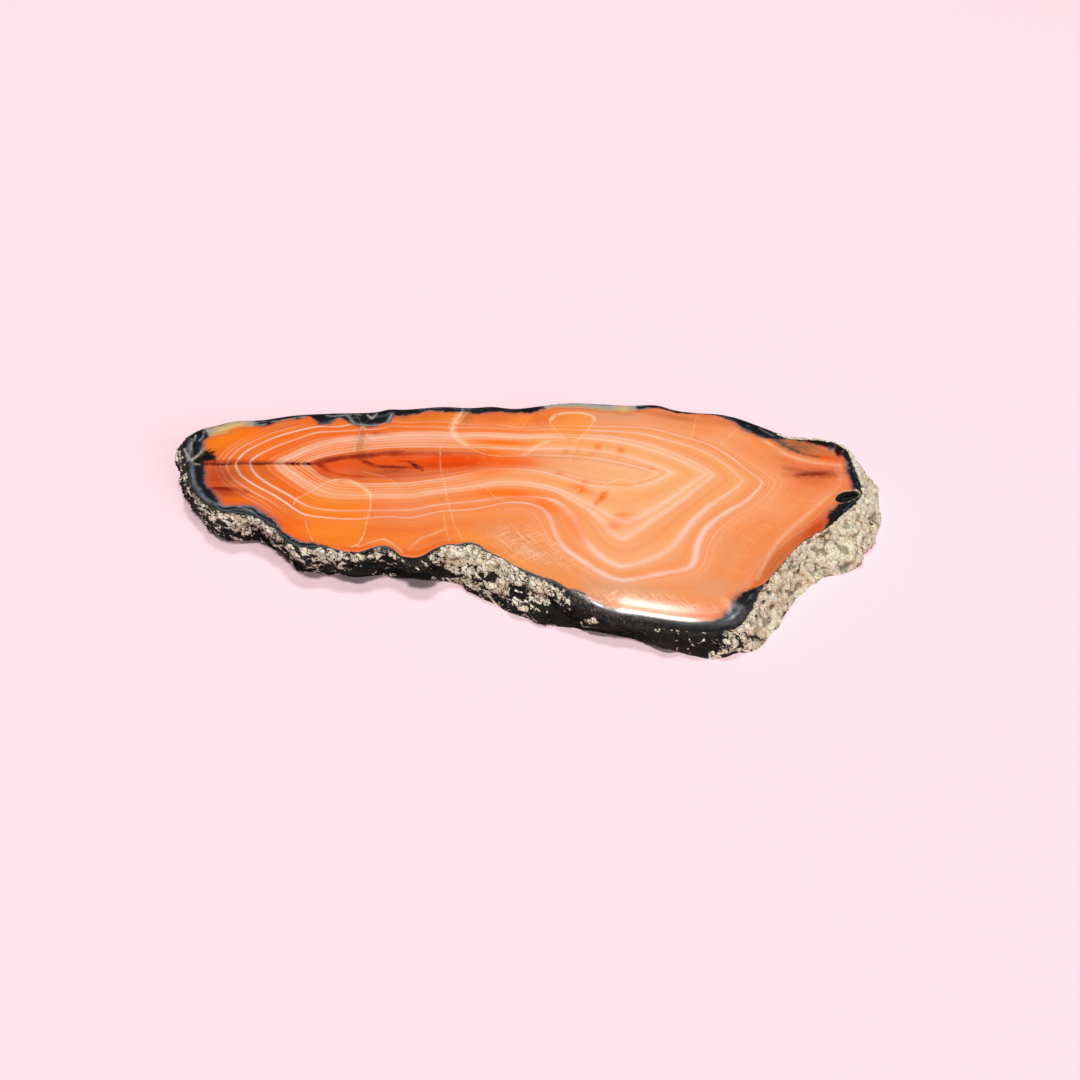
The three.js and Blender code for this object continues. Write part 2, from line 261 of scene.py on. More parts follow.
# Cells between healed cracks where the stone is more yellow.
yellowCells = [
    (0.75, [(-52.4, 0.6), (-50, 2.8), (-47.5, 5.6), (-45.5, 7.6), (-43, 8.5), (-41, 8.2), (-39.3, 6.8),
        (-37.4, 5), (-35.7, 3), (-35.1, -1), (-35.1, -6), (-35.5, -12), (-36.6, -16.4), (-38, -17.6),
        (-42, -18.4), (-46.2, -16.5), (-48, -12), (-49.4, -6.4)]),
    (1.0, [(6, 35), (7, 36.5), (9.5, 37.3), (13, 37.5), (15.5, 36.5), (17, 35), (16.5, 33), (15.5, 31),
        (14.5, 28.5), (13, 26), (11.5, 24.5), (10, 25), (8.5, 27), (7, 30), (6, 32.5)]),
    (0.5, [(-17.5, 27.5), (-16, 25), (-14, 22.5), (-12.5, 20.8), (-10.5, 19.3), (-8, 18.3), (-3, 18),
        (0, 18.4), (1, 20), (2.5, 22), (4.5, 23.8), (2, 25.6), (-6, 26), (-12, 26.4)]),
    (0.45, [(-38, 11.5), (-34, 10), (-32, 8.8), (-30.5, 7.5), (-29.5, 5.5), (-28, 4), (-35, 3.2)]),
    (0.4, [(18, 5.8), (20, 7.5), (22, 8.3), (24, 7.8), (26, 6), (22, 4.6)]),
    (0.4, [(10.6, 17), (11.6, 21), (12.8, 25.6), (17, 25.2), (21, 23.6), (20, 19), (15, 16.6)]),
]

# Soft patches of colour: x, y, half length, half width, turn in degrees, strength.
patches = {
    "blaze": [
        (-5, 16, 8, 2.8, -4, 0.8), (-9, 11.5, 7, 1.4, 10, 0.6), (-4, 2.6, 8, 1.8, -4, 0.9),
        (5, -2, 4.5, 1.5, -45, 0.7), (11, -9.5, 7, 1.5, -70, 0.6), (-6, 24, 7, 1.2, -5, 0.9),
        (-8.4, 19.5, 4, 1.0, -6, 0.9), (-4, 29.3, 8, 0.9, 0, 0.6), (-24, 32.4, 7, 0.6, 0, 0.5),
        (-30, 21, 9, 0.5, 2, 0.3), (-66, 28, 6, 3, 30, 0.6), (-62, 23, 4, 4, 45, 0.35),
        (-56, 26, 5, 1.4, 30, 0.5), (-47, -11, 7, 3.5, 0, 0.5), (2, 34.5, 6, 3.5, 0, 0.6),
        (-8, 35, 5, 3, 0, 0.5), (-25, 36, 4, 2.4, 0, 0.4), (-44, 35, 5, 2, 0, 0.3),
        (71.5, 9.5, 3.5, 5.5, 0, 0.3), (64, 15, 5, 1.4, -30, 0.35), (-36, -4, 9, 4, 0, 0.3),
        (22, -8, 3, 4, -40, 0.3),
    ],
    "glow": [
        (-18, 15.6, 11, 3.4, 3, 1.0), (-6, 15.8, 8, 2.6, -4, 0.4), (-30, 16.6, 7, 2.6, 4, 0.7),
        (-44, 13.4, 5, 2.4, 20, 0.5), (65.5, -9.5, 6, 1.6, 52, 0.4), (71.4, 17.4, 4.6, 0.9, -16, 0.7),
    ],
    "russet": [
        (-71.5, 9.8, 5.6, 4.6, 0, 0.6), (-70, 4.3, 4.6, 1.2, -4, 1.0), (-69.5, 2.8, 4.6, 1.2, -8, 0.6),
        (-64.3, 3.3, 1.0, 0.6, -20, 0.9), (-69.5, 15.6, 7, 1.0, 0, 0.7), (-62.5, 15.3, 6, 0.9, 0, 0.7),
        (-55, 15.2, 4, 0.8, 0, 0.6), (-36.4, 28, 1.4, 1.0, 0, 0.5), (-34, 27.6, 1.2, 0.6, 0, 0.3),
        (65.4, -10.4, 7, 1.5, 52, 0.5), (67.4, 10.4, 5.4, 2.0, 0, 0.7), (63.5, 12.6, 3, 1.0, -20, 0.5),
        (66.5, 7.6, 3, 1.2, 0, 0.3), (61, 17, 4, 1.2, -40, 0.2), (-46.5, 9.8, 4, 0.8, -32, 0.4),
        (-33, 10.6, 9, 1.1, 4, 0.35), (-22, 14.2, 9, 1.0, 3, 0.3), (-47.4, 13.4, 2.4, 0.8, -55, 0.6),
    ],
    "rose": [
        (67, 12.6, 6.5, 3.0, -6, 0.8), (66, 6, 6, 4, 0, 0.5), (60, 14, 5, 3, -30, 0.2),
        (-73, 10, 3, 4, 0, 0.3),
    ],
    "amber": [
        (11.2, 31.6, 4.8, 4.8, 0, 1.0), (-44, 1, 7.5, 6, 0, 0.4), (-1, 34.6, 2.6, 2.6, 0, 0.7),
        (-44, 7, 5, 3, -20, 0.3), (-10, -15, 7, 2.6, -20, 1.0), (-1, -23, 9, 2.6, -38, 1.0),
        (-30, -15.5, 8, 2.6, 0, 0.7), (-44, -12, 6, 2.6, 0, 0.6), (7, -29.5, 6, 2.2, -30, 0.9),
        (25, 4, 5, 3, 0, 0.25), (-30, 3, 6, 4, 0, 0.2),
    ],
    "umber": [
        (66, 22.4, 5.2, 2.8, -32, 0.9), (70.6, 19.8, 4, 1.7, -30, 0.55), (62.4, 24.8, 3, 1.8, -50, 0.5),
        (-14.4, 35.6, 1.6, 3.2, 0, 0.5), (-30.5, 35.4, 2.4, 1.6, -20, 0.5), (-39.8, 26, 1.25, 8, 0, 0.5),
        (36.5, 35.4, 8, 1.2, -18, 0.5), (47, 33.5, 5, 1.4, -25, 0.3), (-63, 13.4, 3, 1.0, -10, 0.4),
        (-31.5, 11.8, 5, 1.1, 3, 0.35), (-60.6, 30.4, 4, 0.9, 22, 0.3), (61.5, -14.5, 8, 2.4, 52, 0.4),
        (54.6, -23.4, 8, 2.4, 58, 0.5), (52, -30, 5, 2.4, 60, 0.4), (-70, 3.6, 4.6, 2.0, -8, 0.4),
        (-62, 11.5, 4, 2.2, -45, 0.35), (-25, 36, 5, 2.6, 0, 0.35), (-7, 36, 6, 2.6, 0, 0.28),
        (5, 34.5, 5, 3, 0, 0.25), (-70.5, 8.5, 5, 5, 0, 0.3),
    ],
    "dust": [
        (20, -32, 12, 3.6, -10, 1.0), (40, -32, 7, 4, -20, 0.7), (22, 35.6, 8, 2.6, -8, 0.9),
        (-5, -14, 6, 5, -30, 0.6), (2, -21, 8, 4, -35, 0.7), (44, -20, 4, 6, 0, 0.3),
        (3, -27, 11, 2.2, -38, 1.0), (12, -33, 6, 2.4, -25, 0.8), (32, 33, 7, 2, -14, 0.4),
    ],
    "ember": [
        (8, 10.7, 0.8, 0.6, 0, 0.9), (9.6, 20, 0.7, 0.6, 0, 0.7), (12.4, 20.8, 0.5, 0.7, 0, 0.6),
        (14, 7.5, 0.6, 0.9, 0, 0.7), (12.7, 4.8, 2.6, 1.2, -35, 0.7), (17.8, 1.6, 0.7, 2.2, -20, 1.3),
        (16.3, -1, 0.5, 1.7, -15, 0.9), (17.3, 22, 0.7, 1.3, 0, 1.0), (16, 19.3, 0.7, 0.5, 0, 0.6),
        (22.7, 20.5, 0.8, 1.3, 0, 0.9), (19.6, -10, 1.3, 1.2, 0, 0.6), (22, -5.6, 1.6, 0.7, 0, 0.6),
        (66, 7.5, 3, 2.5, 0, 0.3), (13, 4.2, 0.5, 2.0, -15, 1.1), (29.6, 12.8, 0.6, 0.4, 0, 0.8),
    ],
    "smoke": [
        (-75.7, 17.5, 1.2, 1.6, -20, 1.4), (-74.8, 15.0, 3.2, 0.45, 0, 0.9),
        (-71.5, 14.4, 3, 0.5, 0, 0.75), (-62.6, 14.6, 2.6, 0.5, 0, 0.7), (-58.4, 14.9, 0.4, 0.4, 0, 0.8),
        (-55.0, 14.8, 1.4, 0.65, -6, 1.05), (-53.0, 14.8, 0.4, 0.4, 0, 0.8),
        (-51.4, 14.8, 1.0, 0.6, -20, 1.15), (-48.8, 14.5, 2.0, 0.8, -30, 0.65),
        (-45.5, 16.5, 5.2, 1.3, 20, 0.64), (-38.5, 17.9, 5.6, 1.4, 9, 0.62),
        (-30.5, 18.9, 6, 1.3, 2, 0.52), (-22, 18.8, 7, 1.1, 0, 0.4), (-37.6, 15.4, 2.4, 0.8, -30, 0.75),
        (-32, 13.5, 5.2, 0.9, -3, 0.7), (-28, 15.8, 2.6, 0.35, 0, 0.7), (-26.0, 13.9, 1.6, 0.7, -55, 0.9),
        (-31, 11.9, 4.6, 1.0, 4, 0.4), (-22, 12.6, 4, 0.8, 10, 0.3), (-70.4, 4.8, 3.6, 0.7, -5, 0.75),
        (67.6, 10.5, 3.8, 0.9, 3, 0.6), (65, 10.3, 1.4, 0.6, 8, 0.7), (70.8, 24, 2.8, 1.1, -38, 1.3),
        (74.8, 20.8, 0.9, 2.8, -10, 1.3), (68.6, 24.6, 1.6, 0.8, 0, 0.9),
        (69.5, -7.5, 1.6, 2.4, -30, 0.9),
    ],
    "honey": [
        (-72, 26, 7.5, 4.2, 20, 1.0), (-63, 24, 4, 3, 30, 0.4), (-27.5, 35.5, 1.6, 2.4, 0, 1.0),
        (-23, 36, 4.5, 2.6, 0, 0.9), (-2.5, 34.5, 2.6, 2.6, 0, 0.8), (22, 6.6, 3.6, 1.2, 0, 0.5),
        (22, 18, 3, 1.6, -20, 0.4), (-8, -8, 12, 6, -25, 0.3), (6, -22, 9, 6, -35, 0.4),
        (-24, -16.5, 3, 3, 0, 0.3), (56, 27, 5, 3, -50, 0.3), (-44, 22, 5, 1.6, 14, 0.5),
    ],
    "scuff": [(1, -17, 10, 6, -35, 1.0), (10, -24, 8, 3.5, -40, 0.6), (25, -35.6, 15, 3, -8, 0.9)],
    "veil": [
        (-30, 25.3, 16, 1.8, 2, 1.1), (-28, -3, 8, 5, 0, 0.35), (50, 27, 5, 4, 0, 0.35),
        (22, -20, 5, 4, 0, 0.3), (-44, 22.5, 9, 1.5, 22, 0.6), (-10, 26, 9, 1.2, -3, 0.3),
        (-44, 4.6, 6, 1.5, -20, 0.6), (-30, 4.2, 8, 1.1, 3, 0.4), (27, 15, 8, 4, -25, 0.2),
        (20, -9.5, 6, 4, 30, 0.3), (26, -19, 9, 3, 30, 0.3), (73.3, 10.5, 3.2, 1.0, 82, 0.7),
        (68, 1.5, 7, 1.2, 52, 0.5), (60, -10, 9, 1.0, 50, 0.4), (50.5, -24, 9, 1.0, 62, 0.4),
        (64, 17, 6, 1.2, -25, 0.5), (0, -19, 8, 2, -35, 0.3), (5, 20.5, 4, 2.4, 20, 0.4),
        (16.5, 19.5, 5, 3.4, -20, 0.3), (56.5, -3, 5, 4, 0, 0.25), (-42.6, 12.8, 2.6, 1.4, 0, 0.35),
    ],
}
patchPaint = [
    # kind, strength, colour
    ("honey", 0.5, (252, 146, 24)), ("veil", 0.3, (254, 210, 190)), ("dust", 0.42, (198, 174, 146)),
    ("blaze", 1.1, (253, 114, 10)), ("umber", 0.9, (146, 82, 48)), ("glow", 1.25, (236, 76, 0)),
    ("rose", 0.6, (224, 96, 72)), ("russet", 1.0, (160, 30, 4)),
    ("amber", 0.75, (250, 150, 62)),
]

# The dark rim of the polished face: x, y on the edge, width, paleness (0 black,
# 0.5 blue-grey, 1 tan).
rimKnots = [
    (-83, 22.8, 6.0, 0.15), (-80.5, 14, 5.0, 0.1), (-78, 7, 4.0, 0.1), (-73, -0.7, 3.0, 0.3),
    (-69, -4.2, 2.4, 0.38), (-64, -5.2, 3.1, 0.4), (-60, -7.5, 2.6, 0.35), (-57, -10.5, 1.9, 0.38),
    (-54.5, -13, 1.3, 0.3), (-51, -17, 2.6, 0.4), (-46, -17.8, 1.8, 0.2), (-42.5, -18.5, 0.5, 0.3),
    (-39, -19, 0.05, 0), (-34, -18, 0.4, 0.4), (-31, -17.8, 0.9, 0.4), (-27, -20.3, 0.1, 0.2),
    (-22, -20.5, 0.2, 0.2), (-18, -17, 0.5, 0.3), (-12.5, -16.4, 1.1, 0.45), (-8, -19.7, 0.6, 0.4),
    (-3, -23, 0.5, 0.3), (1, -27, 1.1, 0.45), (5, -29.6, 0.9, 0.35), (8.5, -32, 0.7, 0.2),
    (11, -33.8, 1.6, 0.25), (15.5, -37.2, 1.5, 0.1), (19, -38, 1.1, 0), (27, -40, 1.0, 0),
    (37, -41.7, 1.1, 0.1), (41, -41.4, 1.8, 0.2), (44, -40.6, 3.0, 0.3), (46.5, -38.5, 4.4, 0.3),
    (48.3, -35, 3.6, 0.25), (49.6, -32.6, 1.6, 0.2), (50.8, -30.5, 0.15, 0), (57.5, -20.7, 0.1, 0),
    (61, -16, 0.5, 0.1), (66, -11.6, 0.2, 0),
    (68, -10.2, 1.6, 0), (70, -7.8, 3.2, 0), (72, -5.7, 3.6, 0.1), (74.5, -2, 3.6, 0.1),
    (77, 2, 2.6, 0), (77.8, 6.5, 2.9, 0.1), (78.2, 11, 2.9, 0.3), (78.2, 16, 2.4, 0.35),
    (77.6, 20.8, 3.6, 0.15), (75, 24.5, 4.4, 0.1), (71.5, 26.2, 3.6, 0.15), (68, 26.5, 2.4, 0.2),
    (64, 26.8, 1.6, 0.2), (62, 28, 2.8, 0.1), (59.5, 29.8, 4.6, 0.15), (56, 32.2, 4.4, 0.2),
    (53, 34.3, 2.6, 0.2), (50, 36.2, 1.6, 0.2), (46, 37.3, 1.0, 0.2), (42, 37.6, 0.8, 0.3),
    (37.5, 38.8, 1.3, 0.1), (33, 41, 1.6, 0.1), (29, 41.3, 2.2, 0.2), (25, 41.2, 3.8, 0.9),
    (18, 41.9, 3.0, 0.62), (11, 42.3, 2.4, 0.58), (5, 41.2, 1.8, 0.6), (1.5, 40.5, 2.6, 0.05),
    (-2.5, 39.6, 2.4, 0), (-8, 40.6, 2.7, 0), (-12, 40.3, 3.4, 0.05), (-15.5, 40, 2.2, 0.5),
    (-20, 40.4, 2.6, 0), (-25, 40, 2.0, 0.3), (-29, 39.5, 3.0, 0.05), (-32.5, 39.3, 3.6, 0.15),
    (-35.5, 38.7, 5.8, 0.05), (-39.5, 38, 7.0, 0.1), (-43, 37.7, 5.2, 0.25), (-46, 37.6, 2.2, 0.3),
    (-48.5, 37.5, 5.2, 0.05), (-51.5, 37.3, 4.6, 0.05), (-53.5, 37.1, 1.4, 0.2), (-58, 36.5, 1.9, 0.1),
    (-62, 35.4, 2.2, 0.1), (-65.5, 34.5, 3.2, 0.3), (-69, 34.2, 3.2, 0.85), (-74, 33.2, 4.2, 1.0),
    (-77.5, 31.8, 4.4, 0.8), (-80.5, 29.6, 4.4, 0.15), (-82.3, 26.5, 4.8, 0.05),
]
# The lines drawn in the face, and what is stored about the nearest of each kind.
lineKinds = {
    "crack": (healedCracks, ("Gap", "Tone")),
    "seam": (darkSeams, ("Gap", "Tone", "Width", "Cold")),
    "vein": (rimVeins, ("Gap", "Tone", "Width", "Warm")),
    "streak": (paleStreaks, ("Gap", "Tone", "Width")),
}

# The skin round the flank: x, y on the edge, darkness (the skin's own colour, and partly painted
# shade where the flank is undercut), knobbliness, paleness of the crust that creeps over the polished
# edge.
skinKnots = [
    (-83, 22.8, 0.86, 0.2, 0.6), (-81, 14, 0.78, 0.2, 1.1), (-77, 5, 0.86, 0.2, 0.3),
    (-70, -4, 0.64, 0.1, 0.7), (-58, -9, 0.6, 0.1, 0.7), (-50, -17.3, 0.62, 0.1, 0.8),
    (-45, -18, 0.58, 0.1, 0.8), (-38, -19, 0.85, 0.1, 0.6), (-32, -18, 0.68, 0.1, 0.6),
    (-24, -21, 0.9, 0.1, 0.3), (-17, -16.8, 0.34, 0.3, 0.7), (-6, -21.5, 0.36, 0.2, 0.9),
    (4, -29, 0.56, 0.2, 0.7), (12, -34.5, 0.8, 0.2, 0.1), (24, -39.2, 0.92, 0.2, 0),
    (34, -41.3, 0.7, 0.4, 0), (42, -41, 0.4, 0.7, 0.2), (48, -36, 0.15, 1, 0.4),
    (57, -21, 0.05, 1, 0.7), (68, -10, 0.05, 1, 1.2), (77, 2, 0.05, 0.6, 1.4),
    (78.2, 14, 0.1, 0.3, 1.9), (75, 24.5, 0.2, 0.3, 1.7), (63, 27.2, 0.3, 0.4, 2.0),
    (59, 30, 0.4, 0.4, 0.7),
    (52, 35, 0.5, 0.4, 0.3), (30, 41.3, 0.5, 0.4, 0.3), (0, 40.3, 0.55, 0.4, 0.2),
    (-36, 38.4, 0.5, 0.4, 0.3), (-62, 35.3, 0.55, 0.3, 0.4), (-78, 31.4, 0.65, 0.2, 0.3),
]


def smoothStep(low, high, value):
    t = np.clip((value - low) / (high - low), 0, 1)
    return t * t * (3 - 2 * t)


def eased(values, axis):
    # each value drawn halfway towards its neighbours, round and round
    return (np.roll(values, 1, axis=axis) + 2 * values + np.roll(values, -1, axis=axis)) / 4


def evenLoop(points, count, passes):
    closed = np.vstack([points, points[:1]])
    along = np.r_[0, np.cumsum(np.hypot(*np.diff(closed, axis=0).T))]
    places = np.linspace(0, along[-1], count, endpoint=False)
    loop = np.column_stack([np.interp(places, along, closed[:, axis]) for axis in (0, 1)])
    for _ in range(passes):
        loop = eased(loop, 0)
    return loop


def curveThrough(points, steps, closed):
    # a smooth curve through every point given, with a corner wherever the line turns sharply
    points = np.array(points, float)
    count = len(points) if closed else len(points) - 1
    ways = np.roll(points, -1, axis=0) - points
    ways /= np.maximum(np.hypot(*ways.T), 1e-9)[:, None]
    sharp = (ways * np.roll(ways, 1, axis=0)).sum(1) < 0.75
    fine = []
    for index in range(count):
        if closed:
            before, start, end, after = (points[(index + shift) % len(points)] for shift in (-1, 0, 1, 2))
        else:
            before, start, end = points[max(index - 1, 0)], points[index], points[index + 1]
            after = points[min(index + 2, len(points) - 1)]
        if sharp[index]:
            before = start
        if sharp[(index + 1) % len(points)]:
            after = end
        for t in np.arange(steps) / steps:
            bend = 2 * start + (end - before) * t + (2 * before - 5 * start + 4 * end - after) * t ** 2
            fine.append((bend + (3 * start - before - 3 * end + after) * t ** 3) / 2)
    if not closed:
        fine.append(points[-1])
    return np.array(fine)


def gapTo(places, line, closed, reach=500):
    # distance from each place to the line, and the number of the nearest stretch;
    # places out of reach of the line are only said to be that far off
    starts = line if closed else line[:-1]
    runs = (np.roll(line, -1, axis=0) if closed else line[1:]) - starts
    lengths = np.maximum((runs ** 2).sum(1), 1e-12)
    gaps, nearest = np.full(len(places), float(reach)), np.zeros(len(places), int)
    close = (places > line.min(0) - reach) & (places < line.max(0) + reach)
    chosen = np.flatnonzero(close.all(1))
    for first in range(0, len(chosen), 2000):
        part = chosen[first:first + 2000]
        x = places[part, 0:1] - starts[:, 0]
        y = places[part, 1:2] - starts[:, 1]
        t = np.clip((x * runs[:, 0] + y * runs[:, 1]) / lengths, 0, 1)
        squares = (x - t * runs[:, 0]) ** 2 + (y - t * runs[:, 1]) ** 2
        nearest[part] = squares.argmin(1)
        gaps[part] = np.sqrt(squares.min(1))
    return gaps, nearest


def insideLoop(places, loop):
    ends = np.roll(loop, -1, axis=0)
    result = np.empty(len(places), bool)
    for first in range(0, len(places), 4000):
        x, y = places[first:first + 4000, 0:1], places[first:first + 4000, 1:2]
        crosses = (loop[:, 1] > y) != (ends[:, 1] > y)
        rise = np.where(ends[:, 1] == loop[:, 1], 1, ends[:, 1] - loop[:, 1])
        meets = (ends[:, 0] - loop[:, 0]) * (y - loop[:, 1]) / rise + loop[:, 0] > x
        result[first:first + 4000] = (crosses & meets).sum(1) % 2 == 1
    return result


def cadCopy(name):
    copy = bmesh.new()
    copy.from_mesh(frame["nodes"][name].data)
    bmesh.ops.scale(copy, vec=(1 / mm,) * 3, verts=copy.verts)
    bmesh.ops.remove_doubles(copy, verts=copy.verts, dist=0.002)
    copy.normal_update()
    return copy


def polishedEdge(copy, top):
    # the outer edge of the flat polished face, as one loop of points
    beside = {}
    for edge in copy.edges:
        flat = [face.normal.z > 0.9999 for face in edge.link_faces]
        if len(flat) == 2 and flat[0] != flat[1] and min(v.co.z for v in edge.verts) > top - 0.01:
            for here, there in (edge.verts, reversed(edge.verts)):
                beside.setdefault(here, []).append(there)
    loops = []
    while beside:
        start = next(iter(beside))
        loop, here = [], start
        while here in beside:
            loop.append((here.co.x, here.co.y))
            following = [v for v in beside.pop(here) if v in beside]
            here = following[0] if following else start
        loops.append(np.array(loop))
    loop = max(loops, key=lambda points: np.ptp(points[:, 0]))
    turn = (loop[:, 0] * np.roll(loop[:, 1], -1) - np.roll(loop[:, 0], -1) * loop[:, 1]).sum()
    return loop if turn > 0 else loop[::-1]


def outwardFrom(loop, reach):
    along = np.roll(loop, -reach, axis=0) - np.roll(loop, reach, axis=0)
    outward = np.column_stack([along[:, 1], -along[:, 0]])
    return outward / np.hypot(*outward.T)[:, None]


def cornerRadii(loop):
    # the corner is rubbed over only along the front right of the slab
    along = smoothStep(6.5, 20.5, loop[:, 0]) * (1 - smoothStep(42.5, 48.5, loop[:, 0]))
    front = 1 - smoothStep(-30.2, -22.2, loop[:, 1])
    return slab["edgeRadius"] + (slab["rubbedRadius"] - slab["edgeRadius"]) * along * front


def firstHit(tree, start, way, reach):
    # a ray that slips between two triangles is tried again a hair to the side
    for nudge in ((0, 0, 0), (0, 0.007, 0.011), (0.009, 0, -0.013), (0.02, -0.03, 0.04)):
        hit = tree.ray_cast(start + Vector(nudge), way, reach)[0]
        if hit:
            return hit
    return start


def flankPoint(tree, place, outward, z):
    start = Vector((place[0] + outward[0] * 14, place[1] + outward[1] * 14, z))
    hit = firstHit(tree, start, Vector((-outward[0], -outward[1], 0)), 30)
    return (hit.x, hit.y, z)


def edgeBand(tree, loop, top):
    # rows of points from the polished face, over the corner and down the flank
    outward = outwardFrom(loop, 12)
    radii = cornerRadii(loop)
    knees = np.array([flankPoint(tree, p, o, top - r) for p, o, r in zip(loop, outward, radii)])
    for _ in range(slab["edgePasses"]):
        knees[:, :2] = eased(knees[:, :2], 0)
    rows = []
    for step in range(slab["cornerSteps"] + 1):
        angle = step / slab["cornerSteps"] * math.pi / 2
        flat = loop + (knees[:, :2] - loop) * math.sin(angle)
        rows.append(np.column_stack([flat, top - radii * (1 - math.cos(angle))]))
    for step in range(1, slab["flankSteps"] + 1):
        heights = (top - radii) * (1 - step / slab["flankSteps"])
        row = [flankPoint(tree, p, o, max(z, 0.03)) for p, o, z in zip(loop, outward, heights)]
        rows.append(np.column_stack([np.array(row)[:, :2], heights]))
    rows = np.array(rows)
    flank = slab["cornerSteps"] + 1
    for _ in range(slab["flankPasses"]):
        even = eased(rows, 1)
        even[1:-1] = (even[:-2] + 2 * even[1:-1] + even[2:]) / 4
        rows[flank:, :, :2] = even[flank:, :, :2]
    return rows, knees[:, :2]


def vugBowl(tree, top):
    # rays from a point in the mouth of the hole feel for its wall all round
    centre = Vector((*slab["vugCentre"], top - 0.01))
    rings = []
    for ring in range(slab["vugRings"]):
        down = ring / slab["vugRings"] * math.pi / 2
        row = []
        for spoke in range(slab["vugSpokes"]):
            bearing = spoke / slab["vugSpokes"] * 2 * math.pi
            level = math.cos(down)
            way = Vector((math.cos(bearing) * level, math.sin(bearing) * level, -math.sin(down)))
            hit = firstHit(tree, centre, way, 12)
            row.append((hit.x, hit.y, top if ring == 0 else hit.z))
        rings.append(row)
    bottom = firstHit(tree, centre, Vector((0, 0, -1)), 12)
    return np.array(rings), tuple(bottom)


def withinEdge(line, loop):
    # the part of a line that stays clear of the edge
    kept = insideLoop(line, loop) & (gapTo(line, loop, True)[0] > 0.4)
    return line[kept]


def fillFace(outlines, guides, spacing):
    # a flat mesh whose edges follow the outlines and the guide lines
    points, edges = [], []
    drawn = [(outline, True) for outline in outlines] + guides
    for line, closed in drawn:
        first = len(points)
        points.extend(map(tuple, line))
        edges.extend((first + i, first + i + 1) for i in range(len(line) - 1))
        if closed:
            edges.append((len(points) - 1, first))
    low, high = outlines[0].min(0), outlines[0].max(0)
    grid = []                  # rows of an even grid of triangles lie 0.866 of its spacing apart
    for row, y in enumerate(np.arange(low[1], high[1], spacing * 0.866)):
        shift = spacing / 2 * (row % 2)
        grid.append([(x + shift, y) for x in np.arange(low[0], high[0], spacing)])
    grid = np.array(sum(grid, []))
    for index, outline in enumerate(outlines):
        grid = grid[insideLoop(grid, outline) == (index == 0)]
    for line, closed in drawn:
        near = gapTo(grid, line, closed, 1)[0]
        grid = grid[near > spacing * 0.45]
    points.extend(map(tuple, grid))
    places, _, faces, *_ = delaunay_2d_cdt([Vector(p) for p in points], edges, [], 0, 1e-5)
    places = np.array([tuple(p) for p in places])
    faces = np.array([f for f in faces if len(f) == 3])
    middles = places[faces].mean(1)
    keep = insideLoop(middles, outlines[0])
    for outline in outlines[1:]:
        keep &= ~insideLoop(middles, outline)
    return places, faces[keep]


zoneNumbers = {"face": 0, "flank": 1, "sawn": 2, "vug": 3}


def wrapped(rows, count):
    # the four-sided faces between closed rows of points
    corners = []
    for start in range(0, (rows - 1) * count, count):
        for c in range(count):
            following = (c + 1) % count
            corners.append((start + c, start + count + c, start + count + following, start + following))
    return corners


def stoneBody():
    # points, faces, the zone each point belongs to, and the lines they were laid along
    copy = cadCopy(slab["node"])
    tree = BVHTree.FromBMesh(copy)
    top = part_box(slab["node"])[1].z / mm
    loop = evenLoop(polishedEdge(copy, top), slab["stations"], slab["edgePasses"])
    band, knees = edgeBand(tree, loop, top)
    bowl, bowlBottom = vugBowl(tree, top)
    rings = [curveThrough(points, 4, True) for points in bandRings.values()]
    traced = {"loop": loop, "knees": knees, "rings": rings, "hole": bowl[0][:, :2], "top": top}
    for kind, (lines, _) in lineKinds.items():
        traced[kind] = [withinEdge(curveThrough(line[-1], 4, False), loop) for line in lines]
    fine = traced["crack"] + traced["seam"][:slab["guidedSeams"]] + traced["vein"]
    guides = [(ring, True) for ring in rings] + [(line, False) for line in fine]
    face, faceTriangles = fillFace([loop, traced["hole"]], guides, slab["faceSpacing"])
    leaned = [(ring / slab["sawnShrink"] + slab["sawnShift"], True) for ring in rings]
    sawn, sawnTriangles = fillFace([band[-1][:, :2]], leaned, slab["sawnSpacing"])
    points, faces, zones = [], [], []

    def add(newPoints, newFaces, zone):
        first = len(points)
        points.extend(map(tuple, newPoints))
        zones.extend([zoneNumbers[zone]] * len(newPoints))
        faces.extend(tuple(int(i) + first for i in f) for f in newFaces)

    add(np.column_stack([face, np.full(len(face), top)]), faceTriangles, "face")
    add(np.column_stack([sawn, np.zeros(len(sawn))]), sawnTriangles[:, ::-1], "sawn")
    add(band.reshape(-1, 3), wrapped(*band.shape[:2]), "flank")
    ringCount, spokes = bowl.shape[:2]
    bowlFaces = [corners[:1] + corners[:0:-1] for corners in wrapped(ringCount, spokes)]
    last = (ringCount - 1) * spokes
    bowlFaces += [(last + c, last + (c + 1) % spokes, ringCount * spokes) for c in range(spokes)]
    add(np.vstack([bowl.reshape(-1, 3), [bowlBottom]]), bowlFaces, "vug")
    copy.free()
    print("stone body:", len(points), "points,", len(faces), "faces")
    return rubbedOver(np.array(points), traced), faces, np.array(zones), traced


def rubbedOver(points, traced):
    # the polished-over corner falls away slowly before it turns down into the flank
    gap, station = gapTo(points[:, :2], traced["knees"], True, slab["rubbedWidth"])
    radius, width = slab["rubbedRadius"], slab["rubbedWidth"]
    share = (cornerRadii(traced["loop"])[station] - slab["edgeRadius"]) / (radius - slab["edgeRadius"])
    tight = radius * (1 - np.sqrt(1 - np.clip(1 - gap / radius, 0, 1) ** 2))
    slow = radius * (1 - np.sqrt(1 - np.clip(1 - gap / width, 0, 1) ** 2))
    upper = points[:, 2] > traced["top"] - radius * 0.98
    points[:, 2] -= np.where(upper & (gap > 0.02), share ** 2 * (slow - tight), 0)
    return points


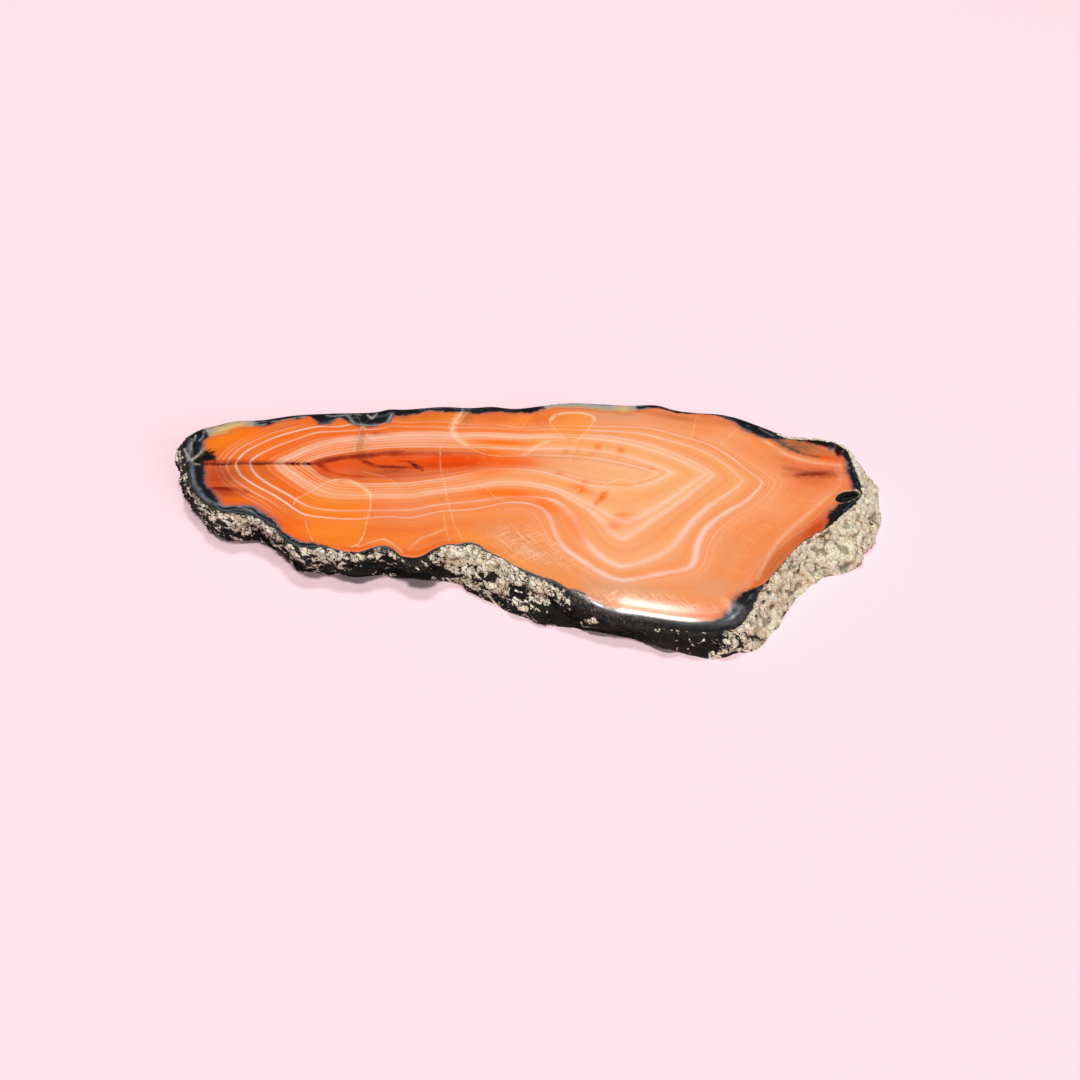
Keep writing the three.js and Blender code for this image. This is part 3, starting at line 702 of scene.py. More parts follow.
def patchStrength(places, spots):
    # how strongly each place is stained by the soft oval spots
    strength = np.zeros(len(places))
    for x, y, length, width, turn, most in spots:
        angle = math.radians(turn)
        across, up = places[:, 0] - x, places[:, 1] - y
        u = (across * math.cos(angle) + up * math.sin(angle)) / length
        v = (up * math.cos(angle) - across * math.sin(angle)) / width
        strength = np.maximum(strength, most * np.exp(-(u * u + v * v) ** 1.3 * 0.8))
    return strength


def alongEdge(loop, knots):
    # values given at places on the edge, carried round it from knot to knot
    knots = np.array(knots, float)
    nearest = gapTo(knots[:, :2], loop, True)[1]
    order = np.argsort(nearest)
    stations = nearest[order] + np.arange(len(order)) * 1e-3
    steps = np.arange(len(loop))
    return [np.interp(steps, stations, column[order], period=len(loop)) for column in knots[:, 2:].T]


def nearestLine(places, lines, about):
    # how far off the nearest of the lines is, and each value that goes with that line
    gaps = np.array([gapTo(places, line, False, 3)[0] for line in lines])
    columns = np.array([line[:-1] for line in about], float).T
    return [gaps.min(0)] + [column[gaps.argmin(0)] for column in columns]


def markings(points, zones, traced):
    # everything the stone material needs to know about each point
    loop, rings, top = traced["loop"], traced["rings"], traced["top"]
    flat = points[:, :2].copy()
    sawn = points[:, 2] < 0.005
    flat[sawn] = (flat[sawn] - slab["sawnShift"]) * slab["sawnShrink"]
    edge, station = gapTo(flat, traced["knees"], True)
    gaps = [edge] + [gapTo(flat, ring, True)[0] for ring in rings]
    depth = np.clip(edge / np.maximum(edge + gaps[1], 1e-6), 0, 1)
    for level, ring in enumerate(rings, 1):
        within = insideLoop(flat, ring)
        further = gaps[level + 1] if level < len(rings) else np.maximum(5 - gaps[level], 0)
        depth = np.where(within, level + gaps[level] / np.maximum(gaps[level] + further, 1e-6), depth)
    for level, ring in enumerate(rings, 1):
        depth = np.where(gaps[level] < 0.004, level, depth)
    tones = list(ringTone.values())
    evenGap, oddGap = np.array(gaps[1::2]), np.array(gaps[2::2])
    marks = {
        "depth": depth,
        "evenGap": evenGap.min(0),
        "evenTone": np.array(tones[0::2])[evenGap.argmin(0)],
        "oddGap": oddGap.min(0),
        "oddTone": np.array(tones[1::2])[oddGap.argmin(0)],
        "flesh": smoothStep(-50, 26, flat[:, 0] - 0.25 * flat[:, 1]),
    }
    for kind, (about, parts) in lineKinds.items():
        for part, values in zip(parts, nearestLine(flat, traced[kind], about)):
            marks[kind + part] = values
    for name, spots in patches.items():
        marks[name] = patchStrength(flat, spots)
    for strength, cell in yellowCells:
        marks["honey"] = np.maximum(marks["honey"], strength * insideLoop(flat, np.array(cell, float)))
    below = top - points[:, 2]
    radii = cornerRadii(loop)[station]
    marks["edgeGap"] = np.where(below < radii, edge, radii - below)
    width, pale = alongEdge(loop, rimKnots)
    shade, knobby, crust = alongEdge(loop, skinKnots)
    stationed = {"rimWidth": width, "rimPale": pale, "knobby": knobby, "crust": crust, "shade": shade}
    marks.update({name: values[station] for name, values in stationed.items()})
    marks["upper"] = 1 - smoothStep(0.6, 3.6, below)
    # painted shade: where the skin is dark it is made darker still further down the flank, under the
    # overhang
    marks["shade"] *= 1 + 0.35 * smoothStep(2, 7, below) * (marks["shade"] > 0.3)
    rubbed = smoothStep(0.6, 2.6, radii)
    polish = 1 - smoothStep(0, 1.1, below - radii * (0.8 + 0.15 * rubbed))
    marks["polish"] = np.where(sawn, 0, polish)
    marks["skin"] = np.where((zones == zoneNumbers["flank"]) & (polish < 0.02) & ~sawn, 1, 0)
    marks["rubbed"] = rubbed
    marks["corner"] = smoothStep(0.02, 0.3, below) * (1 - rubbed)
    marks["corner"] += smoothStep(0.75, 1, below / radii) * rubbed
    marks["rough"] = smoothStep(-0.4, 0.3, below - radii * (1 - 0.1 * rubbed))
    marks["rough"] *= smoothStep(0, 0.8, points[:, 2])
    marks["rough"] *= 1 - 0.4 * rubbed
    holeGap = gapTo(points[:, :2], traced["hole"], True, 3)[0]
    inBowl = zones == zoneNumbers["vug"]
    marks["pitGap"] = np.where(inBowl, -below, np.where(below < 0.001, holeGap, 9))
    marks["polish"] = np.where(inBowl, 1 - smoothStep(0, 0.5, below), marks["polish"])
    marks["rough"] = np.where(inBowl, 0, marks["rough"])
    return marks


def stoneMesh():
    points, faces, zones, traced = stoneBody()
    build = bmesh.new()
    zoneLayer = build.verts.layers.int.new("zone")
    for point, zone in zip(points, zones):
        vertex = build.verts.new(point)
        vertex[zoneLayer] = int(zone)
    build.verts.ensure_lookup_table()
    for face in faces:
        build.faces.new([build.verts[i] for i in face]).smooth = True
    bmesh.ops.remove_doubles(build, verts=build.verts, dist=0.003)
    bmesh.ops.dissolve_degenerate(build, edges=build.edges, dist=0.0005)
    bmesh.ops.recalc_face_normals(build, faces=build.faces)
    openEdges = sum(1 for edge in build.edges if not edge.is_manifold)
    for edge in build.edges:
        if sum(face.normal.z < -0.999 for face in edge.link_faces) == 1:
            edge.smooth = max(v.co.z for v in edge.verts) > 0.01     # the sawn edge stays crisp
    mesh = bpy.data.meshes.new("carnelianSlab")
    places = np.array([tuple(v.co) for v in build.verts])
    zones = np.array([v[zoneLayer] for v in build.verts])
    bmesh.ops.scale(build, vec=(mm,) * 3, verts=build.verts)
    build.to_mesh(mesh)
    build.free()
    for name, values in markings(places, zones, traced).items():
        layer = mesh.attributes.new(name, "FLOAT", "POINT")
        layer.data.foreach_set("value", values.astype(np.float32))
    print("stone mesh:", len(mesh.polygons), "faces,", openEdges, "open edges")
    return mesh


# Small helpers for wiring nodes. Each finds its tree from the sockets it is given.
def join(value, socket):
    socket.id_data.links.new(value, socket)


def wire(node, values):
    # each input is linked where its value is a socket, and set where it is a number
    for key, value in values.items():
        if isinstance(value, bpy.types.NodeSocket):
            join(value, node.inputs[key])
        else:
            node.inputs[key].default_value = value
    return node


def place(near, kind, values=None, **settings):
    # a new node in the tree that is given, or in the same tree as the socket that is given
    made = near.id_data.nodes.new(kind)
    for name, value in settings.items():
        setattr(made, name, value)
    return wire(made, values or {})


def socketIn(*values):
    return next(value for value in values if isinstance(value, bpy.types.NodeSocket))


def calc(operation, a, b=0.0, clamp=False):
    made = place(socketIn(a, b), "ShaderNodeMath", {0: a, 1: b}, operation=operation, use_clamp=clamp)
    return made.outputs[0]


def plus(*values):
    return reduce(lambda a, b: calc("ADD", a, b), values)


def minus(a, b):
    return calc("SUBTRACT", a, b)


def rest(share, clamp=False):
    # what is left of one
    return calc("SUBTRACT", 1.0, share, clamp)


def times(*values):
    return reduce(lambda a, b: calc("MULTIPLY", a, b), values)


def over(a, b):
    return calc("DIVIDE", a, b)


def larger(a, b):
    return calc("MAXIMUM", a, b)


def smaller(a, b):
    return calc("MINIMUM", a, b)


def vectorCalc(operation, a, b=(0, 0, 0), scale=1.0):
    return place(a, "ShaderNodeVectorMath", {0: a, 1: b, 3: scale}, operation=operation).outputs[0]


def ease(value, low, high, start=0.0, end=1.0):
    # a soft step from start to end while the value goes from low to high
    values = {0: value, 1: low, 2: high, 3: start, 4: end}
    return place(value, "ShaderNodeMapRange", values, interpolation_type="SMOOTHSTEP").outputs[0]


def noise(where, size, detail, roughness, seed):
    # cloudy values round 0.5, with patches about this many millimetres across
    values = {"Vector": where, "W": seed, "Scale": 1 / size, "Detail": detail, "Roughness": roughness}
    return place(where, "ShaderNodeTexNoise", values, noise_dimensions="4D").outputs[0]


def scaleFor(size, share=1.0):
    # the scale that makes a pattern this many millimetres across
    return over(share, size) if isinstance(size, bpy.types.NodeSocket) else share / size


def cells(where, size, **settings):
    # small cells side by side
    values = {"Vector": where, "Scale": scaleFor(size)}
    return place(where, "ShaderNodeTexVoronoi", values, **settings).outputs


def between(amount, low, high):
    return place(socketIn(amount), "ShaderNodeMix", {0: amount, 2: low, 3: high}).outputs[0]


def blend(amount, below, above, mode="MIX"):
    near = socketIn(amount, below, above)
    values = {0: amount, 6: below, 7: above}
    return place(near, "ShaderNodeMix", values, data_type="RGBA", blend_type=mode).outputs[2]


def useGroup(made, values):
    return wire(place(socketIn(*values.values()), "ShaderNodeGroup", node_tree=made), values).outputs


def stretched(where, turn, lengths):
    # space turned, then drawn out one way and squeezed the others
    values = {"Vector": where, "Rotation": turn, "Scale": lengths}
    return place(where, "ShaderNodeMapping", values, vector_type="TEXTURE").outputs[0]


def bumped(height):
    return place(height, "ShaderNodeBump", {"Strength": 1.0, "Distance": mm, "Height": height}).outputs[0]


def paint(red, green, blue):
    # screen colour, 0 to 255, as the linear colour that nodes use
    parts = [part / 255 for part in (red, green, blue)]
    return tuple(p / 12.92 if p <= 0.04045 else ((p + 0.055) / 1.055) ** 2.4 for p in parts) + (1.0,)


def ramp(value, stops):
    made = place(value, "ShaderNodeValToRGB", {0: value})
    elements = made.color_ramp.elements
    while len(elements) < len(stops):
        elements.new(1.0)
    for element, (position, colour) in zip(elements, stops):
        element.position = position
        element.color = paint(*colour)
    return made.outputs[0]


def group(name, ins, outs, kind="ShaderNodeTree"):
    # an empty node group with its named inputs and outputs, and the two end nodes
    tree = bpy.data.node_groups.new(name, kind)
    for label, (shape, value) in ins.items():
        socket = tree.interface.new_socket(label, in_out="INPUT", socket_type="NodeSocket" + shape)
        if value is not None:
            socket.default_value = value
    for label, shape in outs.items():
        tree.interface.new_socket(label, in_out="OUTPUT", socket_type="NodeSocket" + shape)
    return tree, place(tree, "NodeGroupInput").outputs, place(tree, "NodeGroupOutput").inputs


def millimetres(where):
    return vectorCalc("SCALE", where, scale=1 / mm)


def ridges(where, size, seed):
    # crumpled sheets: sharp crests, from 0 in the hollows to 1 on the crests
    total = 0.0
    for share, part in ((1.0, 0.55), (0.47, 0.29), (0.22, 0.16)):
        cloud = noise(where, 1.0, 1.0, 0.5, seed + share)
        wire(cloud.node, {"Scale": scaleFor(size, 1 / share)})
        crest = rest(times(calc("ABSOLUTE", minus(cloud, 0.5)), 4.2), clamp=True)
        total = plus(total, times(crest, part))
    return total


def domes(where, size):
    # round heads packed side by side, from 0 in the creases to 1 on top
    reach = times(cells(where, size)["Distance"], 1.3)
    return calc("SQRT", rest(times(reach, reach), clamp=True))


def plates(where, size):
    # flat chips side by side, each at a height of its own from 0 to 1
    colour = cells(where, size)["Color"]
    return place(colour, "ShaderNodeSeparateXYZ", {0: colour}).outputs[0]


def wandering(where, size, reach, seed):
    # the same place pushed about a little, so that a pattern on it is less regular
    cloud = noise(where, size, 2.0, 0.5, seed).node.outputs["Color"]
    spread = vectorCalc("SUBTRACT", cloud, (0.5, 0.5, 0.5))
    return vectorCalc("ADD", where, vectorCalc("SCALE", spread, scale=reach * 2))


# The rough skin. Sizes and heights are in millimetres.
rindSizes = {
    "Knob Size": 1.7,
    "Knob Height": 1.3,
    "Crag Size": 4.2,
    "Crag Height": 1.5,
    "Chip Size": 1.6,
    "Chip Height": 0.7,
    "Wrinkle Size": 1.5,
    "Wrinkle Height": 0.6,
}


def reliefHeight(sizes, where, knobby):
    # round knobs where the skin is knobby, crumpled crags and chips elsewhere
    moved = wandering(where, 2.0, 0.7, 3.0)
    lying = vectorCalc("MULTIPLY", moved, (1, 1, 1.6))
    crags = times(minus(ridges(lying, sizes["Crag Size"], 5.0), 0.62), sizes["Crag Height"])
    chips = times(minus(plates(lying, sizes["Chip Size"]), 0.5), sizes["Chip Height"])
    wrinkles = times(minus(ridges(lying, sizes["Wrinkle Size"], 9.0), 0.62), sizes["Wrinkle Height"])
    heads = times(minus(domes(moved, sizes["Knob Size"]), 0.8), sizes["Knob Height"])
    craggy = plus(crags, chips, wrinkles)
    return between(knobby, craggy, plus(times(craggy, 0.35), heads))


def rindRelief():
    # Geometry Nodes: push the skin in and out, then give the faces their material
    ins = {"Geometry": ("Geometry", None)}
    ins.update({name: ("Float", value) for name, value in rindSizes.items()})
    ins.update({name: ("Material", None) for name in ("Stone", "Sawn Stone", "Skin")})
    tree, given, result = group("rindRelief", ins, {"Geometry": "Geometry"}, "GeometryNodeTree")

    def stored(name):
        read = place(tree, "GeometryNodeInputNamedAttribute", {"Name": name}, data_type="FLOAT")
        return read.outputs[0]

    position = place(tree, "GeometryNodeInputPosition").outputs[0]
    relief = reliefHeight(given, millimetres(position), stored("knobby"))
    height = times(relief, stored("rough"), mm)
    level = vectorCalc("MULTIPLY", place(tree, "GeometryNodeInputNormal").outputs[0], (1, 1, 0.5))
    # each step takes the geometry from the step before; nothing is pushed below the floor
    under = calc("LESS_THAN", place(tree, "ShaderNodeSeparateXYZ", {0: position}).outputs[2], 0.01 * mm)
    rough = calc("GREATER_THAN", stored("skin"), 0.99)
    geometry = given["Geometry"]
    for kind, values in (
        ("StoreNamedAttribute", {"Name": "relief", "Value": relief}),
        ("SetPosition", {"Offset": vectorCalc("SCALE", level, scale=height)}),
        ("SetPosition", {"Position": vectorCalc("MAXIMUM", position, (-1, -1, 0))}),
        ("RealizeInstances", {}),
        ("SetMaterial", {"Material": given["Stone"]}),
        ("SetMaterial", {"Selection": under, "Material": given["Sawn Stone"]}),
        ("SetMaterial", {"Selection": rough, "Material": given["Skin"]}),
    ):
        geometry = place(tree, "GeometryNode" + kind, {"Geometry": geometry, **values}).outputs[0]
    join(geometry, result[0])
    return tree


# Colours of the banding against depth: the left of the slab and the right.
bandColours = {
    "left": [
        (0, (226, 84, 8)), (0.3, (240, 100, 8)), (0.95, (240, 120, 42)), (1.2, (238, 114, 50)),
        (1.5, (238, 108, 26)), (1.85, (242, 118, 42)), (2.25, (241, 108, 28)), (2.5, (241, 108, 32)),
        (2.85, (243, 128, 60)), (3.2, (244, 152, 94)), (3.48, (248, 172, 126)), (3.9, (245, 160, 108)),
        (4.12, (244, 154, 98)), (4.25, (244, 132, 54)), (4.45, (242, 124, 40)), (4.65, (242, 132, 54)),
        (4.85, (242, 142, 82)), (5.1, (236, 132, 74)), (5.3, (230, 108, 40)), (5.6, (226, 98, 36)),
        (5.9, (224, 82, 22)), (6.02, (214, 66, 3)), (6.2, (214, 70, 3)), (6.4, (226, 94, 32)),
        (6.8, (220, 78, 6)), (7, (218, 76, 4)),
    ],
    "right": [
        (0, (226, 108, 50)), (0.12, (234, 122, 64)), (0.3, (244, 144, 84)), (0.9, (250, 158, 104)),
        (1.2, (248, 158, 102)), (1.5, (247, 162, 103)), (1.85, (250, 174, 125)), (2.1, (251, 174, 115)),
        (2.5, (249, 164, 105)), (2.85, (250, 174, 121)), (3.1, (253, 196, 157)), (3.35, (252, 190, 145)),
        (3.55, (252, 186, 135)), (3.9, (254, 198, 157)), (4.1, (252, 190, 141)), (4.3, (250, 178, 125)),
        (4.45, (250, 176, 115)), (4.7, (253, 182, 125)), (4.95, (254, 196, 153)), (5.15, (253, 190, 143)),
        (5.4, (252, 178, 121)), (5.6, (250, 176, 123)), (5.85, (254, 194, 153)), (6.1, (252, 188, 139)),
        (7, (253, 186, 135)),
    ],
}
# Thin pale bands between the main ones: depth, half width, strength at the left and at the right.
fineBands = [
    (0.17, 0.03, 0.1, 0.16), (0.23, 0.02, 0.1, 0.12), (0.8, 0.035, 0.06, 0.22), (0.87, 0.02, 0.06, 0.3),
    (0.92, 0.02, 0.06, 0.2), (1.6, 0.05, 0.1, 0.2), (2.65, 0.05, 0.18, 0.15), (2.9, 0.03, 0.3, 0.2),
    (3.2, 0.04, 0.45, 0.25), (3.46, 0.05, 0.85, 0.35), (3.72, 0.03, 0.6, 0.3), (3.9, 0.035, 0.5, 0.3),
    (4.12, 0.03, 0.4, 0.2), (4.38, 0.02, 0.12, 0.3), (4.62, 0.02, 0.12, 0.25), (4.84, 0.04, 0.45, 0.2),
    (4.95, 0.03, 0.1, 0.3), (5.2, 0.03, 0.25, 0.2), (5.6, 0.04, 0.2, 0.15), (5.85, 0.04, 0.1, 0.3),
    (6.36, 0.05, 0.15, 0.1),
    (4.28, 0.07, 0.6, 0), (4.52, 0.06, 0.5, 0), (4.76, 0.06, 0.55, 0),
]


def bandTone():
    # colour of the banded stone from how deep the place lies in the nodule
    ins = {"Depth": ("Float", 0.0), "Flesh": ("Float", 0.0), "Where": ("Vector", None)}
    tree, given, result = group("bandTone", ins, {"Color": "Color", "Fine Bands": "Float"})
    flesh, where = given["Flesh"], given["Where"]
    ripple = minus(noise(where, 3.5, 3.0, 0.6, 2.0), 0.5)
    depth = plus(given["Depth"], times(ripple, 0.07))
    share = over(depth, 7.0)
    left, right = (ramp(share, [(d / 7, c) for d, c in bandColours[side]]) for side in ("left", "right"))
    colour = blend(flesh, left, right)
    fine = {"W": times(depth, 9.0), "Scale": 1.0, "Detail": 3.0, "Roughness": 0.7}
    grain = place(tree, "ShaderNodeTexNoise", fine, noise_dimensions="1D")
    layers = ease(grain.outputs[0], 0.3, 0.75)
    darker = blend(0.24, colour, (0.88, 0.6, 0.35, 1), "MULTIPLY")
    lighter = blend(0.12, colour, paint(255, 176, 84))
    colour = blend(layers, darker, lighter)
    clouds = ease(noise(where, 9.0, 3.0, 0.55, 7.0), 0.35, 0.7)
    deep = blend(0.12, colour, (0.94, 0.65, 0.4, 1), "MULTIPLY")
    join(blend(clouds, deep, colour), result["Color"])
    lines = 0.0
    for centre, halfWidth, *strengths in fineBands:
        off = calc("ABSOLUTE", minus(given["Depth"], centre))
        crest = rest(over(off, halfWidth), clamp=True)
        lines = larger(lines, times(crest, ease(flesh, 0.2, 0.8, *strengths)))
    join(lines, result["Fine Bands"])
    return tree


def lineMask():
    # strength of a line from the distance to it, in millimetres
    ins = {"Gap": ("Float", 1.0), "Strength": ("Float", 1.0), "Width": ("Float", 0.4)}
    tree, given, result = group("lineMask", ins, {"Mask": "Float"})
    share = over(given["Gap"], given["Width"])
    fall = calc("EXPONENT", times(share, share, -1.0))
    join(times(fall, given["Strength"]), result["Mask"])
    return tree


def lineOf(groups, gap, strength, width):
    return useGroup(groups["line"], {"Gap": gap, "Strength": strength, "Width": width})["Mask"]


def bandedStone(stored, where, groups):
    # the banded colours with their lines, cracks and stains, before any surface finish
    bands = useGroup(groups["bands"], {
        "Depth": stored("depth"), "Flesh": stored("flesh"), "Where": where,
    })
    colour = bands["Color"]
    breakup = noise(where, 1.4, 3.0, 0.6, 11.0)
    across = place(where, "ShaderNodeSeparateXYZ", {0: where}).outputs
    for kind, most, tone in patchPaint[:2]:
        colour = blend(times(stored(kind), most), colour, paint(*tone))
    lines = paleLines(stored, where, groups, bands["Fine Bands"], across)
    colour = blend(lines, colour, paint(255, 216, 204))
    for kind, most, tone in patchPaint[2:]:
        cloudy = times(stored(kind), ease(breakup, 0.3, 0.6, 0.75 * most, most))
        colour = blend(cloudy, colour, paint(*tone))
    ember = calc("MULTIPLY", stored("ember"), ease(breakup, 0.3, 0.55, 0.5, 0.95), clamp=True)
    colour = blend(ember, colour, paint(248, 112, 18))
    streak = lineOf(groups, stored("streakGap"), stored("streakTone"), stored("streakWidth"))
    streak = times(streak, ease(breakup, 0.3, 0.6, 0.4, 0.8))
    colour = blend(streak, colour, paint(254, 212, 176))
    rim = useGroup(groups["rim"], {
        "Color": colour, "Gap": larger(stored("edgeGap"), 0.0), "Width": stored("rimWidth"),
        "Pale": stored("rimPale"), "Where": where,
    })
    vein = lineOf(groups, stored("veinGap"), stored("veinTone"), stored("veinWidth"))
    broken = ease(noise(where, 1.2, 3.0, 0.6, 63.0), 0.34, 0.56, 0.25, 0.95)
    vein = times(vein, rim["Mask"], broken)
    veinColour = blend(stored("veinWarm"), paint(124, 132, 142), paint(228, 216, 188))
    colour = blend(vein, rim["Color"], veinColour)
    kept = rest(times(lines, ease(across[0], -48, -52, 0.0, 0.85)))
    smoke = ease(plus(stored("smoke"), times(breakup, 0.35)), 0.3, 1.0)
    smoke = times(smoke, kept, ease(stored("smoke"), 0.02, 0.35))
    burnt = ramp(stored("smoke"), [(0.5, (150, 30, 6)), (0.8, (96, 16, 10)), (1.0, (16, 11, 11))])
    colour = blend(smoke, colour, burnt, "DARKEN")
    thick = times(stored("seamWidth"), ease(breakup, 0.3, 0.7, 0.6, 1.5))
    seam = lineOf(groups, stored("seamGap"), stored("seamTone"), thick)
    warm = blend(ease(stored("seamTone"), 0.3, 0.8), paint(132, 38, 14), paint(56, 14, 8))
    ink = blend(stored("seamCold"), warm, paint(74, 72, 84))
    ink = blend(ease(stored("seamTone"), 1.1, 1.2), ink, paint(12, 11, 12))
    mask = calc("MULTIPLY", times(seam, kept), 0.9, clamp=True)
    colour = blend(mask, colour, ink, "DARKEN")
    worn = ease(noise(where, 1.6, 3.0, 0.7, 22.0), 0.38, 0.62, 0.2, 1.0)
    crack = lineOf(groups, stored("crackGap"), stored("crackTone"), 0.15)
    shown = times(worn, minus(0.8, times(rim["Mask"], 0.45)))
    return blend(times(crack, shown), colour, paint(255, 226, 176))


def paleLines(stored, where, groups, thinBands, across):
    # the pale rings and the thin bands beside them, as one strength from 0 to 1
    bright = ease(across[0], -54, -36, 1.0, 0.8)
    broad = times(ease(across[0], -4, 14), times(ease(across[1], 10, -12), 0.5))
    far = times(ease(across[0], -44, -34), ease(across[0], 12, 4))
    faded = times(far, ease(across[1], 28.4, 30.4, 0.0, 0.6))
    lines = 0.0
    for side, width in (("even", 0.25), ("odd", 0.3)):
        ring = lineOf(groups, stored(side + "Gap"), stored(side + "Tone"), plus(width, broad))
        lines = larger(lines, ring)
    lines = times(lines, rest(faded))
    outside = times(calc("LESS_THAN", stored("depth"), 1.0), ease(across[0], -52, -62))
    for gap, most in ((2.1, 0.5), (3.5, 0.25), (4.6, 0.2)):
        echo = calc("ABSOLUTE", minus(stored("evenGap"), gap))
        lines = larger(lines, lineOf(groups, echo, times(outside, most), 0.24))
    lines = larger(lines, thinBands)
    uneven = ease(noise(where, 9.0, 3.0, 0.6, 21.0), 0.36, 0.6, 0.55, 1.0)
    uneven = larger(uneven, ease(across[0], -46, -54))
    return times(lines, uneven, bright)


def rimTone():
    # the dark rim inside the edge: black outside, blue-grey bands, a mauve haze
    ins = {
        "Color": ("Color", (1, 1, 1, 1)), "Gap": ("Float", 0.0), "Width": ("Float", 2.0),
        "Pale": ("Float", 0.0), "Where": ("Vector", None),
    }
    tree, given, result = group("rimTone", ins, {"Color": "Color", "Mask": "Float"})
    width, pale, where = (given[name] for name in ("Width", "Pale", "Where"))
    coarse = minus(noise(where, 3.4, 3.0, 0.62, 31.0), 0.5)
    fine = minus(noise(where, 0.7, 2.0, 0.6, 32.0), 0.5)
    ragged = plus(times(coarse, 3.0), times(fine, 1.1))
    held = smaller(times(width, 0.5), 1.0)
    gap = plus(given["Gap"], times(ragged, held))
    share = over(gap, width)
    plain = ramp(share, [
        (0.0, (9, 10, 12)), (0.5, (14, 16, 20)), (0.85, (26, 28, 34)), (1.0, (84, 52, 50)),
    ])
    banded = ramp(share, [
        (0.0, (12, 13, 16)), (0.28, (24, 28, 34)), (0.4, (98, 106, 114)), (0.5, (44, 50, 60)),
        (0.6, (12, 14, 18)), (0.74, (50, 56, 66)), (0.84, (112, 114, 120)), (0.92, (140, 122, 122)),
        (1.0, (150, 98, 94)),
    ])
    grey = ramp(share, [
        (0.0, (112, 112, 112)), (0.35, (168, 164, 158)), (0.6, (170, 160, 146)), (0.85, (192, 158, 118)),
        (1.0, (222, 160, 100)),
    ])
    tan = ramp(share, [
        (0.0, (104, 88, 70)), (0.2, (190, 166, 130)), (0.45, (208, 172, 118)), (0.6, (232, 196, 140)),
        (0.75, (214, 164, 92)), (1.0, (236, 158, 58)),
    ])
    cloudy = ease(noise(where, 3.0, 2.0, 0.5, 35.0), 0.42, 0.62)
    streaky = times(cloudy, ease(pale, 0.0, 0.35, 0.35, 1.0))
    streaky = larger(streaky, ease(pale, 0.25, 0.4, 0.0, 0.9))
    smoky = blend(streaky, plain, banded)
    dark = blend(ease(pale, 0.42, 0.6), smoky, grey)
    dark = blend(ease(pale, 0.7, 0.95), dark, tan)
    reach = minus(gap, width)
    soft = smaller(times(width, 0.3), 0.6)
    solid = rest(ease(reach, times(soft, -1.0), soft))
    haze = times(rest(ease(reach, 0.0, 1.8)), 0.5)
    haze = times(haze, ease(width, 0.8, 2.4))
    veiled = blend(haze, given["Color"], paint(186, 104, 86))
    join(blend(solid, veiled, dark), result["Color"])
    join(solid, result["Mask"])
    return tree


def rindTone():
    # colour and fine bumps of the rough skin: painted light on the crests, painted shade in the hollows
    ins = {name: ("Float", 0.0) for name in ("Shade", "Upper", "Relief")}
    ins["Where"] = ("Vector", None)
    outs = {"Color": "Color", "Roughness": "Float", "Height": "Float"}
    tree, given, result = group("rindTone", ins, outs)
    shade, relief, where = (given[name] for name in ("Shade", "Relief", "Where"))
    moved = wandering(where, 1.2, 0.5, 40.0)
    lying = vectorCalc("MULTIPLY", moved, (1, 1, 1.8))
    wrinkle = ridges(lying, 1.7, 43.0)
    # plates lie along the flank and a little downhill
    along = stretched(wandering(where, 2.4, 1.3, 49.0), (0, 0.41, -0.5), (2.2, 0.9, 0.9))
    shards = noise(along, 1.25, 3.0, 0.65, 47.0)
    flakes = plates(along, 1.0)
    rims = cells(along, 1.0, feature="DISTANCE_TO_EDGE")["Distance"]
    stain = noise(where, 2.6, 4.0, 0.6, 41.0)
    tan = ramp(stain, [
        (0.3, (204, 166, 122)), (0.42, (240, 218, 180)), (0.54, (255, 244, 218)), (0.66, (240, 228, 202)),
        (0.76, (206, 194, 170)),
    ])
    dark = ramp(stain, [(0.3, (4, 3, 2)), (0.5, (13, 10, 6)), (0.64, (30, 21, 13)), (0.76, (8, 7, 5))])
    # raised places turn tan sooner than sunken ones: partly the skin's own colour, partly painted light
    # and shade by height
    level = times(relief, 0.45)
    level = plus(level, times(minus(shards, 0.5), 2.4))
    level = plus(level, times(minus(flakes, 0.5), 0.7))
    clusters = minus(noise(where, 6.0, 2.0, 0.5, 46.0), 0.5)
    level = plus(level, times(clusters, 1.3))
    level = plus(level, ease(given["Upper"], 0.0, 1.0, -0.06, 0.2))
    needed = minus(times(shade, 1.3), 0.8)
    bare = ease(minus(level, needed), -0.03, 0.07)
    colour = blend(bare, dark, tan)
    # painted highlight: raised bare skin is lightened towards warm white
    lit = times(ease(relief, -0.05, 0.35), times(bare, 0.6))
    colour = blend(lit, colour, paint(255, 249, 230))
    rust = ease(noise(where, 1.0, 3.0, 0.65, 44.0), 0.54, 0.66)
    rusty = times(rust, bare, 0.5)
    colour = blend(rusty, colour, paint(196, 124, 66))
    # painted shade: hollows in the relief and folds of the wrinkles are darkened, and the gaps between
    # plates too
    hollowShade = times(ease(relief, -0.16, -0.48), 0.75)
    foldShade = ease(wrinkle, 0.38, 0.26)
    creaseShade = times(larger(hollowShade, foldShade), ease(shade, 0.1, 0.5, 0.75, 0.95))
    split = times(ease(rims, 0.1, 0.03), ease(flakes, 0.2, 0.5))
    split = times(split, ease(shade, 0.05, 0.5, 0.45, 0.9))
    creaseShade = larger(creaseShade, split)
    creaseShadeColour = blend(ease(shade, 0.1, 0.5), paint(84, 70, 50), paint(14, 11, 7))
    colour = blend(creaseShade, colour, creaseShadeColour)
    join(colour, result["Color"])
    join(ease(bare, 0.0, 1.0, 0.62, 0.5), result["Roughness"])
    grit = times(noise(where, 0.4, 2.0, 0.6, 45.0), 0.25)
    shelf = plus(times(shards, 0.8), times(flakes, 0.35))
    height = plus(times(wrinkle, 0.6), shelf)
    join(plus(height, grit), result["Height"])
    return tree


